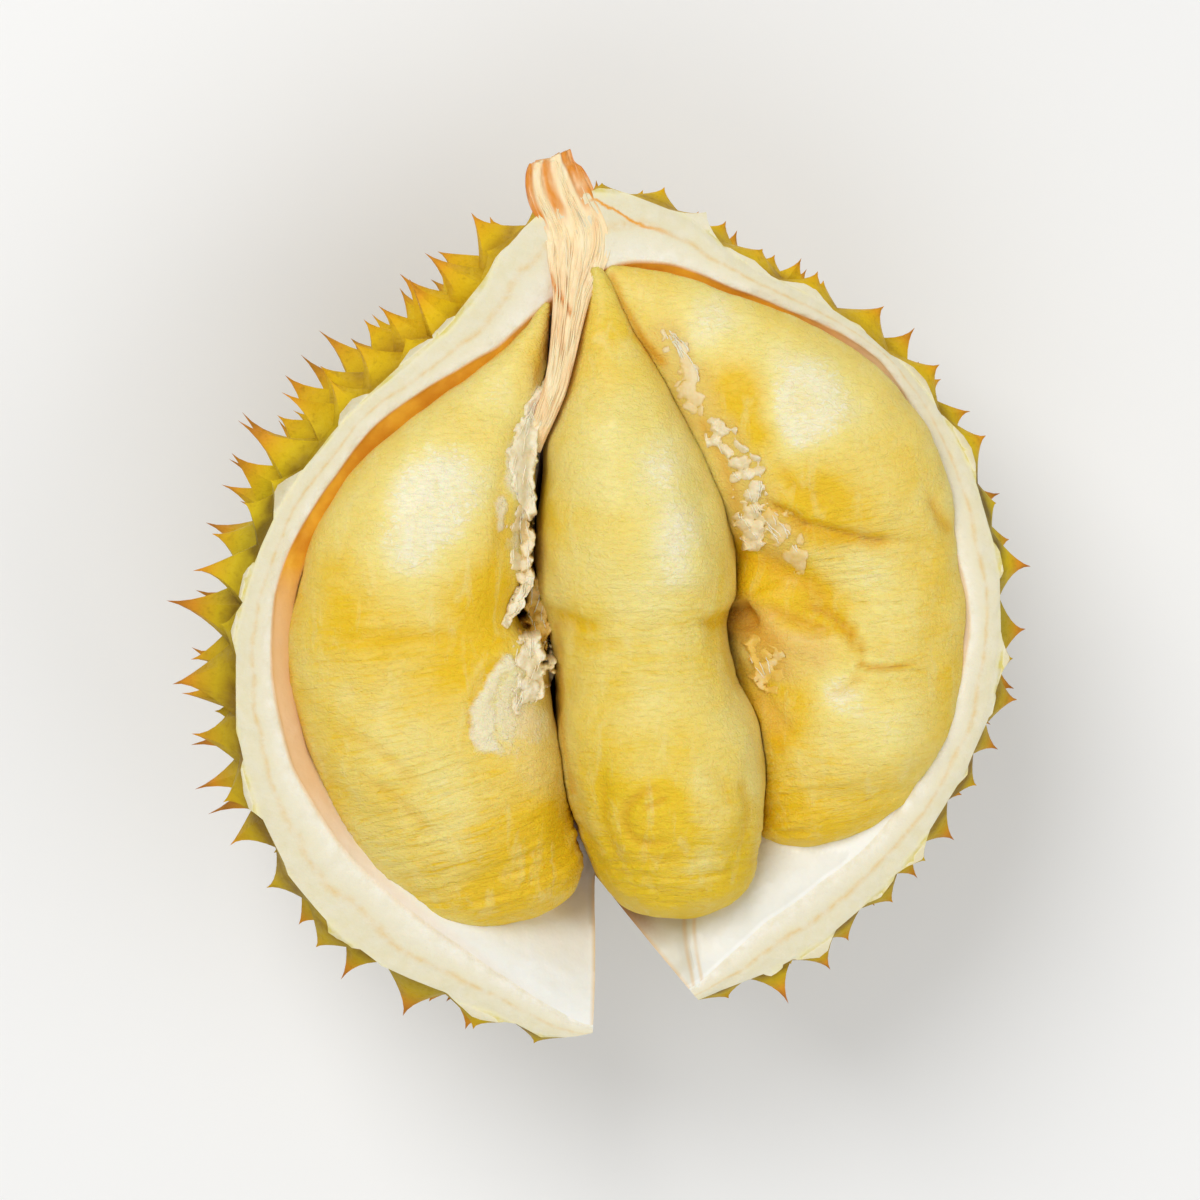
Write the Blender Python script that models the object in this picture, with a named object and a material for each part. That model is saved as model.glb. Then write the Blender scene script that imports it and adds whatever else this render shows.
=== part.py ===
"""An opened durian half, lying on its thorny back with the split face up.

X runs across the half, Y along the fruit towards the stem, Z up out of the split face.
The origin lies on the surface the half rests on, under the middle of its outline.
"""

import math
import random

import bmesh
import bpy
from mathutils import Vector

MM = 0.001

# The rind
RIM_HEIGHT = 96.0 * MM  # split face above the surface it rests on
BACK_HEIGHT = 8.5 * MM  # lowest point of the rind between its thorns
RIM_ANGLE = math.radians(105)  # from the lowest point of the back up to the rim
MEAN_RADIUS = 94.0 * MM
BACK_ROUNDING = 3  # how soon the outline of the rim fades into the round back

# Radius of the rim by its angle in degrees, anticlockwise from +X
RIM_RADII = [
    (0, 93.0), (20, 91.5), (40, 90.0), (57, 86.5), (70, 86.0), (82, 92.5), (92, 98.5),
    (103, 96.0), (113, 85.0), (123, 79.0), (140, 79.5), (158, 84.0), (175, 90.0),
    (193, 95.7), (208, 100.0), (221, 104.5), (235, 104.5), (249, 103.0), (264, 106.0),
    (281, 97.5), (296, 96.2), (312, 94.3), (330, 93.5), (346, 94.2),
]

# The thorns
THORNS_ON_WHOLE_FRUIT = 640
THORN_LENGTH = 11.0 * MM
THORN_SPREAD = 0.12  # share of its length that a thorn may differ by
THORN_JITTER = 0.3  # share of the spacing that a thorn may stray by
RIM_MARGIN = 6.0 * MM  # thorns grow to full length over this strip under the rim
SPLIT_MARGIN = 20.0 * MM  # and over this one beside the split
STEM_COLLAR = 15.0 * MM  # no thorns this close to the stem's base
GOLDEN_ANGLE = math.pi * (3 - math.sqrt(5))
SEED = 11

# The split at the blossom end, seen from above: its inner end and its two tips
SPLIT_END = (-4.2, -69.0)
SPLIT_TIP_LEFT = (-7.5, -107.0)
SPLIT_TIP_RIGHT = (18.5, -95.5)

# The three chambers, seen from above in millimetres
CHAMBER_LEFT = [
    (-17, 68), (-27, 64), (-44, 51), (-62, 38), (-77, 20), (-84, -2), (-84, -24), (-78, -50),
    (-67, -68), (-50, -82), (-31, -93), (-10, -99), (0, -92), (-2, -68), (-11, -50),
    (-17, -30), (-23, -12), (-28, 8), (-27, 32), (-21, 54),
]
CHAMBER_MIDDLE = [
    (-4, 72), (-9, 56), (-15, 36), (-18, 12), (-17, -12), (-13, -34), (-8, -52), (-6, -70),
    (-4, -88), (7, -92), (14, -92), (14.5, -80), (20, -64), (29, -48), (31, -32), (26, -12),
    (26, 4), (22, 22), (14, 42), (5, 60),
]
CHAMBER_RIGHT = [
    (4, 76), (18, 75), (32, 70), (45, 64.5), (58, 57.5), (69, 47), (78, 30), (84, 6), (84, -18),
    (77, -42), (65, -60), (52, -72), (37, -84), (20, -92), (18, -80), (23, -64), (32, -48),
    (35, -32), (30, -12), (30, 4), (26, 22), (18, 42), (9, 60),
]
# How a chamber closes in as it goes down: depth under the rim, and share of its outline
CHAMBER_PROFILE = [(-6, 1.0), (25, 0.98), (42, 0.90), (56, 0.74), (64, 0.50), (67, 0.25)]

# Flesh: rungs across each lobe from its stem end, as
# (inner edge x, y), (outer edge x, y), top, bottom, in millimetres
PULP_LEFT = [
    ((-17.5, 71), (-19.5, 71), 95, 90),
    ((-18.5, 62), (-28, 63.5), 98, 80),
    ((-20.5, 49.5), (-41, 51), 101, 66),
    ((-25.5, 34), (-60, 35), 104, 52),
    ((-28.5, 19), (-73, 17.5), 106, 42),
    ((-28, 5), (-79, -2), 107, 36),
    ((-25, -7), (-79.5, -21), 106, 33),
    ((-21, -18), (-76, -38), 105, 33),
    ((-15.5, -33), (-70, -52), 103, 34),
    ((-11.5, -49), (-61, -65), 101, 37),
    ((-9.5, -62), (-50, -75.5), 97, 44),
    ((-12, -71.5), (-38, -81.5), 91, 54),
    ((-19, -78), (-29, -84), 82, 66),
]
PULP_MIDDLE = [
    ((-5.8, 74), (-2.8, 74), 95, 91),
    ((-8.5, 66), (1, 67), 99, 82),
    ((-12, 54), (7, 56.5), 103, 72),
    ((-15.5, 43), (14.5, 43), 107, 62),
    ((-17.8, 30), (20, 30), 110, 54),
    ((-19, 16), (25.5, 17), 112, 48),
    ((-19.5, 2), (28.2, 3), 112, 44),
    ((-17.3, -11), (27, -7), 110, 42),
    ((-15.3, -23), (29, -18.5), 109, 42),
    ((-14, -35), (33.5, -30), 110, 42),
    ((-11.5, -46.5), (35.3, -42), 111, 44),
    ((-8, -57), (34.8, -53), 110, 48),
    ((-5, -67), (33, -64), 107, 54),
    ((-0.5, -74.5), (30, -71.5), 101, 62),
    ((7.5, -79), (24.5, -77.5), 93, 72),
]
PULP_RIGHT = [
    ((-1.5, 76), (-0.5, 79), 95, 91),
    ((2.5, 68.5), (9.5, 77), 98, 83),
    ((8, 61.5), (24, 73.5), 101, 72),
    ((15, 51), (41, 66), 104, 58),
    ((20, 40), (57, 57.5), 107, 48),
    ((24.5, 28.5), (69.5, 45), 109, 41),
    ((27.5, 17), (77, 29.5), 109, 36),
    ((28.5, 6), (81.5, 15), 106, 33),
    ((28.5, -5), (84, 1), 105, 31),
    ((29, -16), (84, -12), 103, 31),
    ((31, -28), (82, -24), 104, 32),
    ((33.5, -39), (78, -35.5), 103, 35),
    ((34, -49.5), (71.5, -47), 99, 41),
    ((33, -58), (61.5, -56.5), 92, 50),
    ((33.5, -64.5), (48.5, -63.5), 84, 62),
]
RINGS_PER_RUNG = 2
PULP_SIDES = 20
WIDEST_SHARE = 0.6  # level of a lobe's widest line between its bottom and its top

# The stem, cut lengthwise with the fruit, and the core that runs on from it:
# x, y, z and radius in millimetres
STEM_ROUTE = [
    (-15.5, 104.5, 90, 6.5),
    (-12.5, 95, 90, 8.0),
    (-11, 84, 89, 8.5),
    (-11.5, 74, 90, 6.5),
    (-14, 62, 92, 3.6),
    (-18, 48, 93, 3.0),
    (-22, 34, 94, 3.2),
    (-24, 20, 94, 3.6),
    (-24, 6, 94, 3.2),
    (-25.5, -9, 94, 2.0),
]
CORE_CUT_HEIGHT = 1.5 * MM  # the cut stem stands this proud of the split face

# Placenta left on the flesh: centre, half sizes and turn about Z in degrees
PLACENTAS = {
    "placenta_left": ((-25, -27, 99), (8.5, 16, 6), -20),
    "placenta_right_upper": ((23, 36, 100), (5.5, 25, 7), 35),
    "placenta_right_lower": ((37, -20, 98), (7.5, 14, 7), 10),
}

GAP = 0.5 * MM  # left between neighbouring pieces

COLOURS = {
    "rind": ((0.42, 0.38, 0.05), 0.6),
    "pulp": ((0.85, 0.62, 0.12), 0.4),
    "stem": ((0.78, 0.58, 0.38), 0.7),
    "placenta": ((0.86, 0.74, 0.54), 0.7),
}


def clear_scene():
    for old in list(bpy.data.objects):
        bpy.data.objects.remove(old)


def material(name):
    colour, roughness = COLOURS[name]
    made = bpy.data.materials.get(name) or bpy.data.materials.new(name)
    made.use_nodes = True
    shader = made.node_tree.nodes["Principled BSDF"]
    shader.inputs["Base Color"].default_value = (*colour, 1)
    shader.inputs["Roughness"].default_value = roughness
    return made


def collection(name):
    made = bpy.data.collections.new(name)
    bpy.context.scene.collection.children.link(made)
    return made


def add_mesh(name, bm, home, finish=None):
    """Turns a bmesh into an object in the collection `home`."""
    bmesh.ops.recalc_face_normals(bm, faces=bm.faces)
    mesh = bpy.data.meshes.new(name)
    bm.to_mesh(mesh)
    bm.free()
    made = bpy.data.objects.new(name, mesh)
    home.objects.link(made)
    if finish:
        mesh.materials.append(material(finish))
        mesh.shade_smooth()
    return made


def hide_cutter(cutter):
    cutter.hide_render = True
    cutter.display_type = "WIRE"
    return cutter


def smooth_step(value):
    value = min(max(value, 0.0), 1.0)
    return value * value * (3 - 2 * value)


def curve_through(points, steps):
    """Points along a Catmull-Rom curve through `points`, `steps` to each span."""
    ends = [2 * points[0] - points[1], *points, 2 * points[-1] - points[-2]]
    found = []
    for a, b, c, d in zip(ends, ends[1:], ends[2:], ends[3:]):
        for k in range(steps):
            t = k / steps
            found.append(
                0.5 * (2 * b + t * (c - a) + t * t * (2 * a - 5 * b + 4 * c - d)
                       + t * t * t * (3 * b - a - 3 * c + d))
            )
    return [*found, points[-1]]


# ---- rind ----

def rim_radius(angle):
    """Radius of the rim in metres at an angle in radians."""
    degrees = math.degrees(angle) % 360
    count = len(RIM_RADII)
    turns = [RIM_RADII[k % count][0] + 360 * (k // count) for k in range(-1, count + 3)]
    radii = [RIM_RADII[k % count][1] for k in range(-1, count + 3)]
    span = max(k for k in range(1, count + 1) if turns[k] <= degrees)
    t = (degrees - turns[span]) / (turns[span + 1] - turns[span])
    a, b, c, d = radii[span - 1:span + 3]
    radius = 0.5 * (2 * b + t * (c - a) + t * t * (2 * a - 5 * b + 4 * c - d)
                    + t * t * t * (3 * b - a - 3 * c + d))
    return radius * MM


def rind_point(direction):
    """Where the skin between the thorns lies, for a direction from inside the fruit."""
    around = math.atan2(direction.y, direction.x)
    rise = math.acos(max(-1.0, min(1.0, -direction.z)))  # 0 at the lowest point
    share = min(rise / RIM_ANGLE, 1.0) ** BACK_ROUNDING
    outline = MEAN_RADIUS + (rim_radius(around) - MEAN_RADIUS) * share
    radius = outline * math.sin(rise) / math.sin(RIM_ANGLE)
    depth = RIM_HEIGHT - BACK_HEIGHT
    height = BACK_HEIGHT + depth * (1 - math.cos(rise)) / (1 - math.cos(RIM_ANGLE))
    return Vector((radius * math.cos(around), radius * math.sin(around), height))


def distance_to_split(point):
    """Distance in plan from a point to the two edges of the split."""
    end = Vector(SPLIT_END) * MM
    nearest = 1.0
    for tip in (SPLIT_TIP_LEFT, SPLIT_TIP_RIGHT):
        edge = Vector(tip) * MM - end
        along = (point.xy - end).dot(edge) / edge.length_squared
        foot = end + edge * max(along, 0.0)
        nearest = min(nearest, (point.xy - foot).length)
    return nearest


def thorn_direction(index, chance):
    """One of many even directions, in a golden-angle spiral from the lowest point."""
    spacing = math.sqrt(4 * math.pi / THORNS_ON_WHOLE_FRUIT)
    height = -1 + (2 * index + 1) / THORNS_ON_WHOLE_FRUIT
    ring = math.sqrt(1 - height * height)
    around = index * GOLDEN_ANGLE
    place = Vector((ring * math.cos(around), ring * math.sin(around), height))
    stray = Vector(chance.uniform(-1, 1) for _ in range(3))
    return (place + stray * spacing * THORN_JITTER).normalized()


def thorny_rind(home):
    """The whole fruit's outside: a net with one vertex at each thorn, and valleys between."""
    chance = random.Random(SEED)
    bm = bmesh.new()
    for index in range(THORNS_ON_WHOLE_FRUIT):
        bm.verts.new(thorn_direction(index, chance))
    bmesh.ops.convex_hull(bm, input=bm.verts)
    bmesh.ops.subdivide_edges(bm, edges=bm.edges, cuts=1, use_grid_fill=True)
    for vertex in bm.verts:
        vertex.co = rind_point(vertex.co.normalized())
    bmesh.ops.recalc_face_normals(bm, faces=bm.faces)
    bm.normal_update()
    for vertex in bm.verts[:THORNS_ON_WHOLE_FRUIT]:  # the valleys come after the thorns
        to_stem = (vertex.co - Vector(STEM_ROUTE[1][:3]) * MM).length - STEM_COLLAR
        grown = min(
            abs(RIM_HEIGHT - vertex.co.z) / RIM_MARGIN,
            distance_to_split(vertex.co) / SPLIT_MARGIN,
            to_stem / RIM_MARGIN,
        )
        length = THORN_LENGTH * (1 + chance.uniform(-THORN_SPREAD, THORN_SPREAD))
        vertex.co += vertex.normal * length * smooth_step(grown)
    return add_mesh("husk", bm, home, "rind")


def split_wedge(home):
    """The gap between the two tips of the rind, through its whole height."""
    end, left, right = (Vector(p) * MM for p in (SPLIT_END, SPLIT_TIP_LEFT, SPLIT_TIP_RIGHT))
    far_left = end + (left - end) * 2.2
    far_right = end + (right - end) * 2.2
    bm = bmesh.new()
    corners = [bm.verts.new((p.x, p.y, -5 * MM)) for p in (end, far_left, far_right)]
    bm.faces.new(corners)
    grown = bmesh.ops.extrude_face_region(bm, geom=bm.faces[:])["geom"]
    top = [v for v in grown if isinstance(v, bmesh.types.BMVert)]
    bmesh.ops.translate(bm, vec=(0, 0, RIM_HEIGHT + 30 * MM), verts=top)
    return hide_cutter(add_mesh("split_wedge", bm, home))


def slab(name, home, low, high):
    """A wide block between two heights."""
    bm = bmesh.new()
    bmesh.ops.create_cube(bm, size=1)
    bmesh.ops.scale(bm, vec=(0.4, 0.4, high - low), verts=bm.verts)
    bmesh.ops.translate(bm, vec=(0, 0, (low + high) / 2), verts=bm.verts)
    return hide_cutter(add_mesh(name, bm, home))


def loft(rings):
    """A closed skin over a stack of rings that have the same number of points."""
    bm = bmesh.new()
    rows = [[bm.verts.new(point) for point in ring] for ring in rings]
    for lower, upper in zip(rows, rows[1:]):
        for k in range(len(lower)):
            n = (k + 1) % len(lower)
            bm.faces.new((lower[k], lower[n], upper[n], upper[k]))
    bm.faces.new(rows[0])
    bm.faces.new(rows[-1])
    return bm


def chamber(name, outline, home):
    """The space of one chamber: its outline at the rim, closing in as it goes down."""
    middle = sum((Vector(p) for p in outline), Vector((0, 0))) / len(outline)
    rings = []
    for depth, share in CHAMBER_PROFILE:
        ring = [middle + (Vector(p) - middle) * share for p in outline]
        rings.append([Vector((p.x * MM, p.y * MM, RIM_HEIGHT - depth * MM)) for p in ring])
    return hide_cutter(add_mesh(name, loft(rings), home))


# ---- flesh, stem and placenta ----

def lobe_bmesh(rungs, grow):
    """A lobe skinned over its rungs, every section an egg as wide as its rung."""
    inner = curve_through([Vector(r[0]) for r in rungs], RINGS_PER_RUNG)
    outer = curve_through([Vector(r[1]) for r in rungs], RINGS_PER_RUNG)
    heights = curve_through([Vector((r[2], r[3])) for r in rungs], RINGS_PER_RUNG)
    rings = []
    for a, b, (top, bottom) in zip(inner, outer, heights):
        middle, half = (a + b) / 2, (b - a) / 2
        widest = bottom + (top - bottom) * WIDEST_SHARE
        ring = []
        for k in range(PULP_SIDES):
            turn = 2 * math.pi * k / PULP_SIDES
            rise = (top - widest if math.sin(turn) > 0 else widest - bottom) * math.sin(turn)
            place = middle + half * math.cos(turn)
            ring.append(Vector((place.x, place.y, widest + rise)) * MM)
        rings.append(ring)
    bm = loft(rings)
    bmesh.ops.recalc_face_normals(bm, faces=bm.faces)
    if grow:
        bm.normal_update()
        moved = [(v, v.co + v.normal * grow) for v in bm.verts]
        for vertex, place in moved:
            vertex.co = place
    return bm


def stem_bmesh(grow):
    """The stem stub and the core below it, as one tapering round strand."""
    route = curve_through([Vector(p) for p in STEM_ROUTE], RINGS_PER_RUNG)
    guide = bpy.data.curves.new("stem_route", "CURVE")
    guide.dimensions = "3D"
    guide.bevel_depth = 1.0
    guide.bevel_resolution = 3
    guide.use_fill_caps = True
    line = guide.splines.new("POLY")
    line.points.add(len(route) - 1)
    for point, place in zip(line.points, route):
        point.co = (place[0] * MM, place[1] * MM, place[2] * MM, 1)
        point.radius = place[3] * MM + grow
    strand = bpy.data.objects.new("stem_route", guide)
    bpy.context.scene.collection.objects.link(strand)
    graph = bpy.context.evaluated_depsgraph_get()
    mesh = bpy.data.meshes.new_from_object(strand.evaluated_get(graph))
    bpy.data.objects.remove(strand)
    bm = bmesh.new()
    bm.from_mesh(mesh)
    bmesh.ops.remove_doubles(bm, verts=bm.verts, dist=0.01 * MM)
    return bm


def placenta_bmesh(centre, half_sizes, turn, grow):
    """A flattened, turned egg of fibrous tissue."""
    bm = bmesh.new()
    bmesh.ops.create_uvsphere(bm, u_segments=16, v_segments=10, radius=1)
    size = [half * MM + grow for half in half_sizes]
    bmesh.ops.scale(bm, vec=size, verts=bm.verts)
    cos, sin = math.cos(math.radians(turn)), math.sin(math.radians(turn))
    for vertex in bm.verts:
        x, y, z = vertex.co
        vertex.co = Vector((x * cos - y * sin, x * sin + y * cos, z)) + Vector(centre) * MM
    return bm


def cut(target, cutters):
    for cutter in cutters:
        boolean = target.modifiers.new("cut_" + cutter.name, "BOOLEAN")
        boolean.operation = "DIFFERENCE"
        boolean.object = cutter


def main():
    clear_scene()
    parts = collection("durian_half")
    cutters = collection("cutters")
    bpy.context.view_layer.update()

    lobes = {"pulp_left": PULP_LEFT, "pulp_middle": PULP_MIDDLE, "pulp_right": PULP_RIGHT}
    pulp, room = {}, {}
    for name, rungs in lobes.items():
        pulp[name] = add_mesh(name, lobe_bmesh(rungs, 0), parts, "pulp")
        room[name] = hide_cutter(add_mesh(name + "_room", lobe_bmesh(rungs, GAP), cutters))
    stem = add_mesh("stem", stem_bmesh(0), parts, "stem")
    stem_room = hide_cutter(add_mesh("stem_room", stem_bmesh(GAP), cutters))
    above_stem = slab("above_stem", cutters, RIM_HEIGHT + CORE_CUT_HEIGHT, 0.2)
    above_rim = slab("above_rim", cutters, RIM_HEIGHT, 0.25)
    surface = slab("surface", cutters, -0.1, 0)

    husk = thorny_rind(parts)
    chambers = [
        chamber("chamber_left", CHAMBER_LEFT, cutters),
        chamber("chamber_middle", CHAMBER_MIDDLE, cutters),
        chamber("chamber_right", CHAMBER_RIGHT, cutters),
    ]
    cut(husk, [above_rim, surface, split_wedge(cutters), *chambers, *room.values(), stem_room])

    cut(pulp["pulp_left"], [room["pulp_middle"]])
    cut(pulp["pulp_right"], [room["pulp_middle"]])
    cut(stem, [above_stem, *room.values()])
    for name, shape in PLACENTAS.items():
        piece = add_mesh(name, placenta_bmesh(*shape, 0), parts, "placenta")
        cut(piece, [*room.values(), stem_room])
        space = hide_cutter(add_mesh(name + "_room", placenta_bmesh(*shape, GAP), cutters))
        cut(husk, [space])


main()
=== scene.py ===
import math
import random

import bmesh
import bpy
import numpy as np
from mathutils import Matrix, Vector, noise
from mathutils.bvhtree import BVHTree


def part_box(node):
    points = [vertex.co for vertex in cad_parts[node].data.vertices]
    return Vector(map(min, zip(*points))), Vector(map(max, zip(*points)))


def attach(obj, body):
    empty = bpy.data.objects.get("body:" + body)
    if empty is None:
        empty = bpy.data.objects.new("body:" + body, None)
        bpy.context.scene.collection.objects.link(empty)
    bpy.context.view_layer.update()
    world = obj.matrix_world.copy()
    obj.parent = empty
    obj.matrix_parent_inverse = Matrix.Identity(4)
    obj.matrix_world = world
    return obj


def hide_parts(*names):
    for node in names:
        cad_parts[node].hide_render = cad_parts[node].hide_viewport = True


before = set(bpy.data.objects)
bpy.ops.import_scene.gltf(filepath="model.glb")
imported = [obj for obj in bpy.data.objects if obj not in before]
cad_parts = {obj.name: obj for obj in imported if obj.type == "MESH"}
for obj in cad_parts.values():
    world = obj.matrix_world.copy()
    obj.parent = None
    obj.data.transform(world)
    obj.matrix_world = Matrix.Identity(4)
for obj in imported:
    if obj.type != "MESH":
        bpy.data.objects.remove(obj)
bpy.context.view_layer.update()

mm = 0.001
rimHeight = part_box("husk")[1].z / mm  # everything below is worked out in millimetres


def newObject(name, data):
    made = bpy.data.objects.new(name, data)
    bpy.context.scene.collection.objects.link(made)
    return made


def putNode(tree, kind, wires=None, **settings):
    made = tree.nodes.new(kind)
    for name, value in settings.items():
        setattr(made, name, value)
    for name, value in (wires or {}).items():
        socket = made.inputs[name]
        if isinstance(value, bpy.types.NodeSocket):
            tree.links.new(value, socket)
        else:
            socket.default_value = value
    return made


def smoothStep(value):
    value = np.clip(value, 0, 1)
    return value * value * (3 - 2 * value)


def catmullRom(a, b, c, d, t):
    # from b at t = 0 to c at t = 1, in a smooth bend that a and d lie on too
    return 0.5 * (2 * b + t * (c - a) + t ** 2 * (2 * a - 5 * b + 4 * c - d)
                  + t ** 3 * (3 * b - a - 3 * c + d))


def curveThrough(points, count):
    # a smooth curve of count points, spread evenly over its spans
    points = np.array(points, float)
    ends = np.vstack([2 * points[0] - points[1], points, 2 * points[-1] - points[-2]])
    spans = len(points) - 1
    place = np.linspace(0, spans, count)
    span = np.minimum(place.astype(int), spans - 1)
    return catmullRom(*(ends[span + k] for k in range(4)), (place - span)[:, None])


def anglesOf(count):
    # angles of a ring's points
    return np.linspace(0, 2 * math.pi, count, endpoint=False)


def gridMesh(name, points):
    # rings of points joined into a skin, with each end closed by a pole
    rows, cols = points.shape[:2]
    verts = points.reshape(-1, 3).tolist()
    faces = []
    for r in range(rows - 1):
        for c in range(cols):
            n = (c + 1) % cols
            faces.append((r * cols + c, r * cols + n, (r + 1) * cols + n, (r + 1) * cols + c))
    for row, turn in ((0, 1), (rows - 1, -1)):
        pole = len(verts)
        verts.append(points[row].mean(0).tolist())
        for c in range(cols):
            pair = (row * cols + (c + 1) % cols, row * cols + c)
            faces.append((pole, *pair[::turn]))
    mesh = bpy.data.meshes.new(name)
    mesh.from_pydata(verts, [], faces)
    mesh.transform(((mm, 0, 0, 0), (0, mm, 0, 0), (0, 0, mm, 0), (0, 0, 0, 1)))
    mesh.update()
    return mesh


def faceOut(mesh):
    bm = bmesh.new()
    bm.from_mesh(mesh)
    bmesh.ops.recalc_face_normals(bm, faces=bm.faces)
    bm.to_mesh(mesh)
    bm.free()


def setFloats(mesh, name, values):
    layer = mesh.attributes.new(name, "FLOAT", "POINT")
    layer.data.foreach_set("value", np.asarray(values, np.float32))


def setVectors(mesh, name, values):
    layer = mesh.attributes.new(name, "FLOAT_VECTOR", "POINT")
    layer.data.foreach_set("vector", np.asarray(values, np.float32).ravel())


def vertexPlaces(mesh):
    places = np.zeros(len(mesh.vertices) * 3)
    mesh.vertices.foreach_get("co", places)
    return places.reshape(-1, 3) / mm


def noiseAt(places, size, octaves=1, seed=0):
    # soft noise of about -1 to 1 with features of the given size in millimetres
    shift = Vector((seed * 17.3, seed * 5.1, seed * 9.7))
    return np.array([
        noise.fractal(Vector(p) / size + shift, 1.0, 2.0, octaves) if octaves > 1
        else noise.noise(Vector(p) / size + shift)
        for p in places
    ])


def distanceToLine(places, line):
    # distance in plan from each place to a bent line, and how far along it that is
    line = np.array(line, float)
    nearest = np.full(len(places), 1e9)
    along = np.zeros(len(places))
    for k, (a, b) in enumerate(zip(line, line[1:])):
        edge = b - a
        t = np.clip(((places[:, :2] - a) @ edge) / (edge @ edge), 0, 1)
        gap = np.linalg.norm(places[:, :2] - (a + t[:, None] * edge), axis=1)
        closer = gap < nearest
        nearest[closer] = gap[closer]
        along[closer] = ((k + t) / (len(line) - 1))[closer]
    return nearest, along


def bell(gap, reach):
    # 1 in the middle, and next to nothing at twice the reach
    return np.exp(-(gap / reach) ** 2)


def bellAt(places, spot, reach):
    return bell(np.hypot(places[:, 0] - spot[0], places[:, 1] - spot[1]), reach)


def newMaterial(name, subsurface=None, **shaderValues):
    made = bpy.data.materials.new(name)
    made.use_nodes = True
    shader = made.node_tree.nodes["Principled BSDF"]
    for socket, value in shaderValues.items():
        shader.inputs[socket.replace("_", " ")].default_value = value
    if subsurface:  # how far light goes in, in metres of red, green and blue
        shader.inputs["Subsurface Radius"].default_value = subsurface
    return made, made.node_tree, shader


def treeWith(name, inputs):
    # an empty geometry tree that takes a mesh and the named inputs
    tree = bpy.data.node_groups.new(name, "GeometryNodeTree")
    for label, kind in {"Geometry": "Geometry", **inputs}.items():
        tree.interface.new_socket(label, in_out="INPUT", socket_type="NodeSocket" + kind)
    tree.interface.new_socket("Geometry", in_out="OUTPUT", socket_type="NodeSocketGeometry")
    return tree, putNode(tree, "NodeGroupInput").outputs


def endTree(tree, geometry, finish):
    # what a tree has made is smoothed, turned into a real mesh and given its material
    soft = putNode(tree, "GeometryNodeSetShadeSmooth", {"Geometry": geometry})
    real = putNode(tree, "GeometryNodeRealizeInstances", {"Geometry": soft.outputs[0]})
    done = putNode(tree, "GeometryNodeSetMaterial", {
        "Geometry": real.outputs[0], "Material": finish,
    })
    putNode(tree, "NodeGroupOutput", {"Geometry": done.outputs[0]})
    return tree


def bakedNodes(target, tree, values):
    # runs a node tree on an object and returns the plain mesh it makes
    modifier = target.modifiers.new(tree.name, "NODES")
    modifier.node_group = tree
    for item in tree.interface.items_tree:
        if item.name in values:
            modifier[item.identifier] = values[item.name]
    graph = bpy.context.evaluated_depsgraph_get()
    mesh = bpy.data.meshes.new_from_object(target.evaluated_get(graph))
    target.modifiers.remove(modifier)
    bpy.data.objects.remove(target)
    return mesh


def rampOf(tree, factor, stops):
    made = putNode(tree, "ShaderNodeValToRGB", {"Fac": factor})
    elements = made.color_ramp.elements
    while len(elements) < len(stops):
        elements.new(0.5)
    for element, (place, colour) in zip(elements, stops):
        element.position = place
        element.color = (*colour, 1)
    return made.outputs["Color"]


def noiseOf(tree, scale, detail=3.0, roughness=0.55, stretch=(1, 1, 1), distortion=0.0):
    coords = putNode(tree, "ShaderNodeTexCoord").outputs["Object"]
    place = putNode(tree, "ShaderNodeMapping", {"Vector": coords, "Scale": stretch}).outputs[0]
    return putNode(tree, "ShaderNodeTexNoise", {
        "Vector": place, "Scale": scale, "Detail": detail, "Roughness": roughness,
        "Distortion": distortion,
    }).outputs["Fac"]


def attributeOf(tree, name):
    return putNode(tree, "ShaderNodeAttribute", attribute_name=name).outputs["Fac"]


def mathOf(tree, operation, a, b=0.0):
    return putNode(tree, "ShaderNodeMath", {0: a, 1: b}, operation=operation).outputs[0]


def rangeOf(tree, value, low, high, toLow=0.0, toHigh=1.0):
    return putNode(tree, "ShaderNodeMapRange", {
        "Value": value, "From Min": low, "From Max": high, "To Min": toLow, "To Max": toHigh,
    }).outputs[0]


def mixOf(tree, factor, a, b):
    made = putNode(tree, "ShaderNodeMix", data_type="RGBA")
    for socket, value in ((made.inputs[0], factor), (made.inputs[6], a), (made.inputs[7], b)):
        if isinstance(value, bpy.types.NodeSocket):
            tree.links.new(value, socket)
        else:
            socket.default_value = value if isinstance(value, float) else (*value, 1)
    return made.outputs[2]


def bumpOf(tree, height, distance, strength=1.0, under=None):
    wires = {"Height": height, "Distance": distance * mm, "Strength": strength}
    if under:
        wires["Normal"] = under
    return putNode(tree, "ShaderNodeBump", wires).outputs[0]


skinTones = {
    "rising": [  # from the valleys, darkened there with painted shade, to the thorns' tips
        (0.0, (0.17, 0.11, 0.004)), (0.10, (0.42, 0.30, 0.005)), (0.26, (0.67, 0.49, 0.006)),
        (0.46, (0.73, 0.43, 0.008)), (0.66, (0.71, 0.29, 0.014)), (0.95, (0.46, 0.14, 0.016)),
    ],
    "greener": (0.44, 0.38, 0.01),  # in patches
    "warmer": (0.84, 0.47, 0.003),  # towards the stem
    "older": (0.38, 0.20, 0.012),  # away from the stem
    # painted shade: darker and greyer towards the bottom, where the fruit faces the floor
    "undersideShade": (0.26, 0.23, 0.035),
    "flecks": (0.28, 0.15, 0.01),
}


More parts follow.
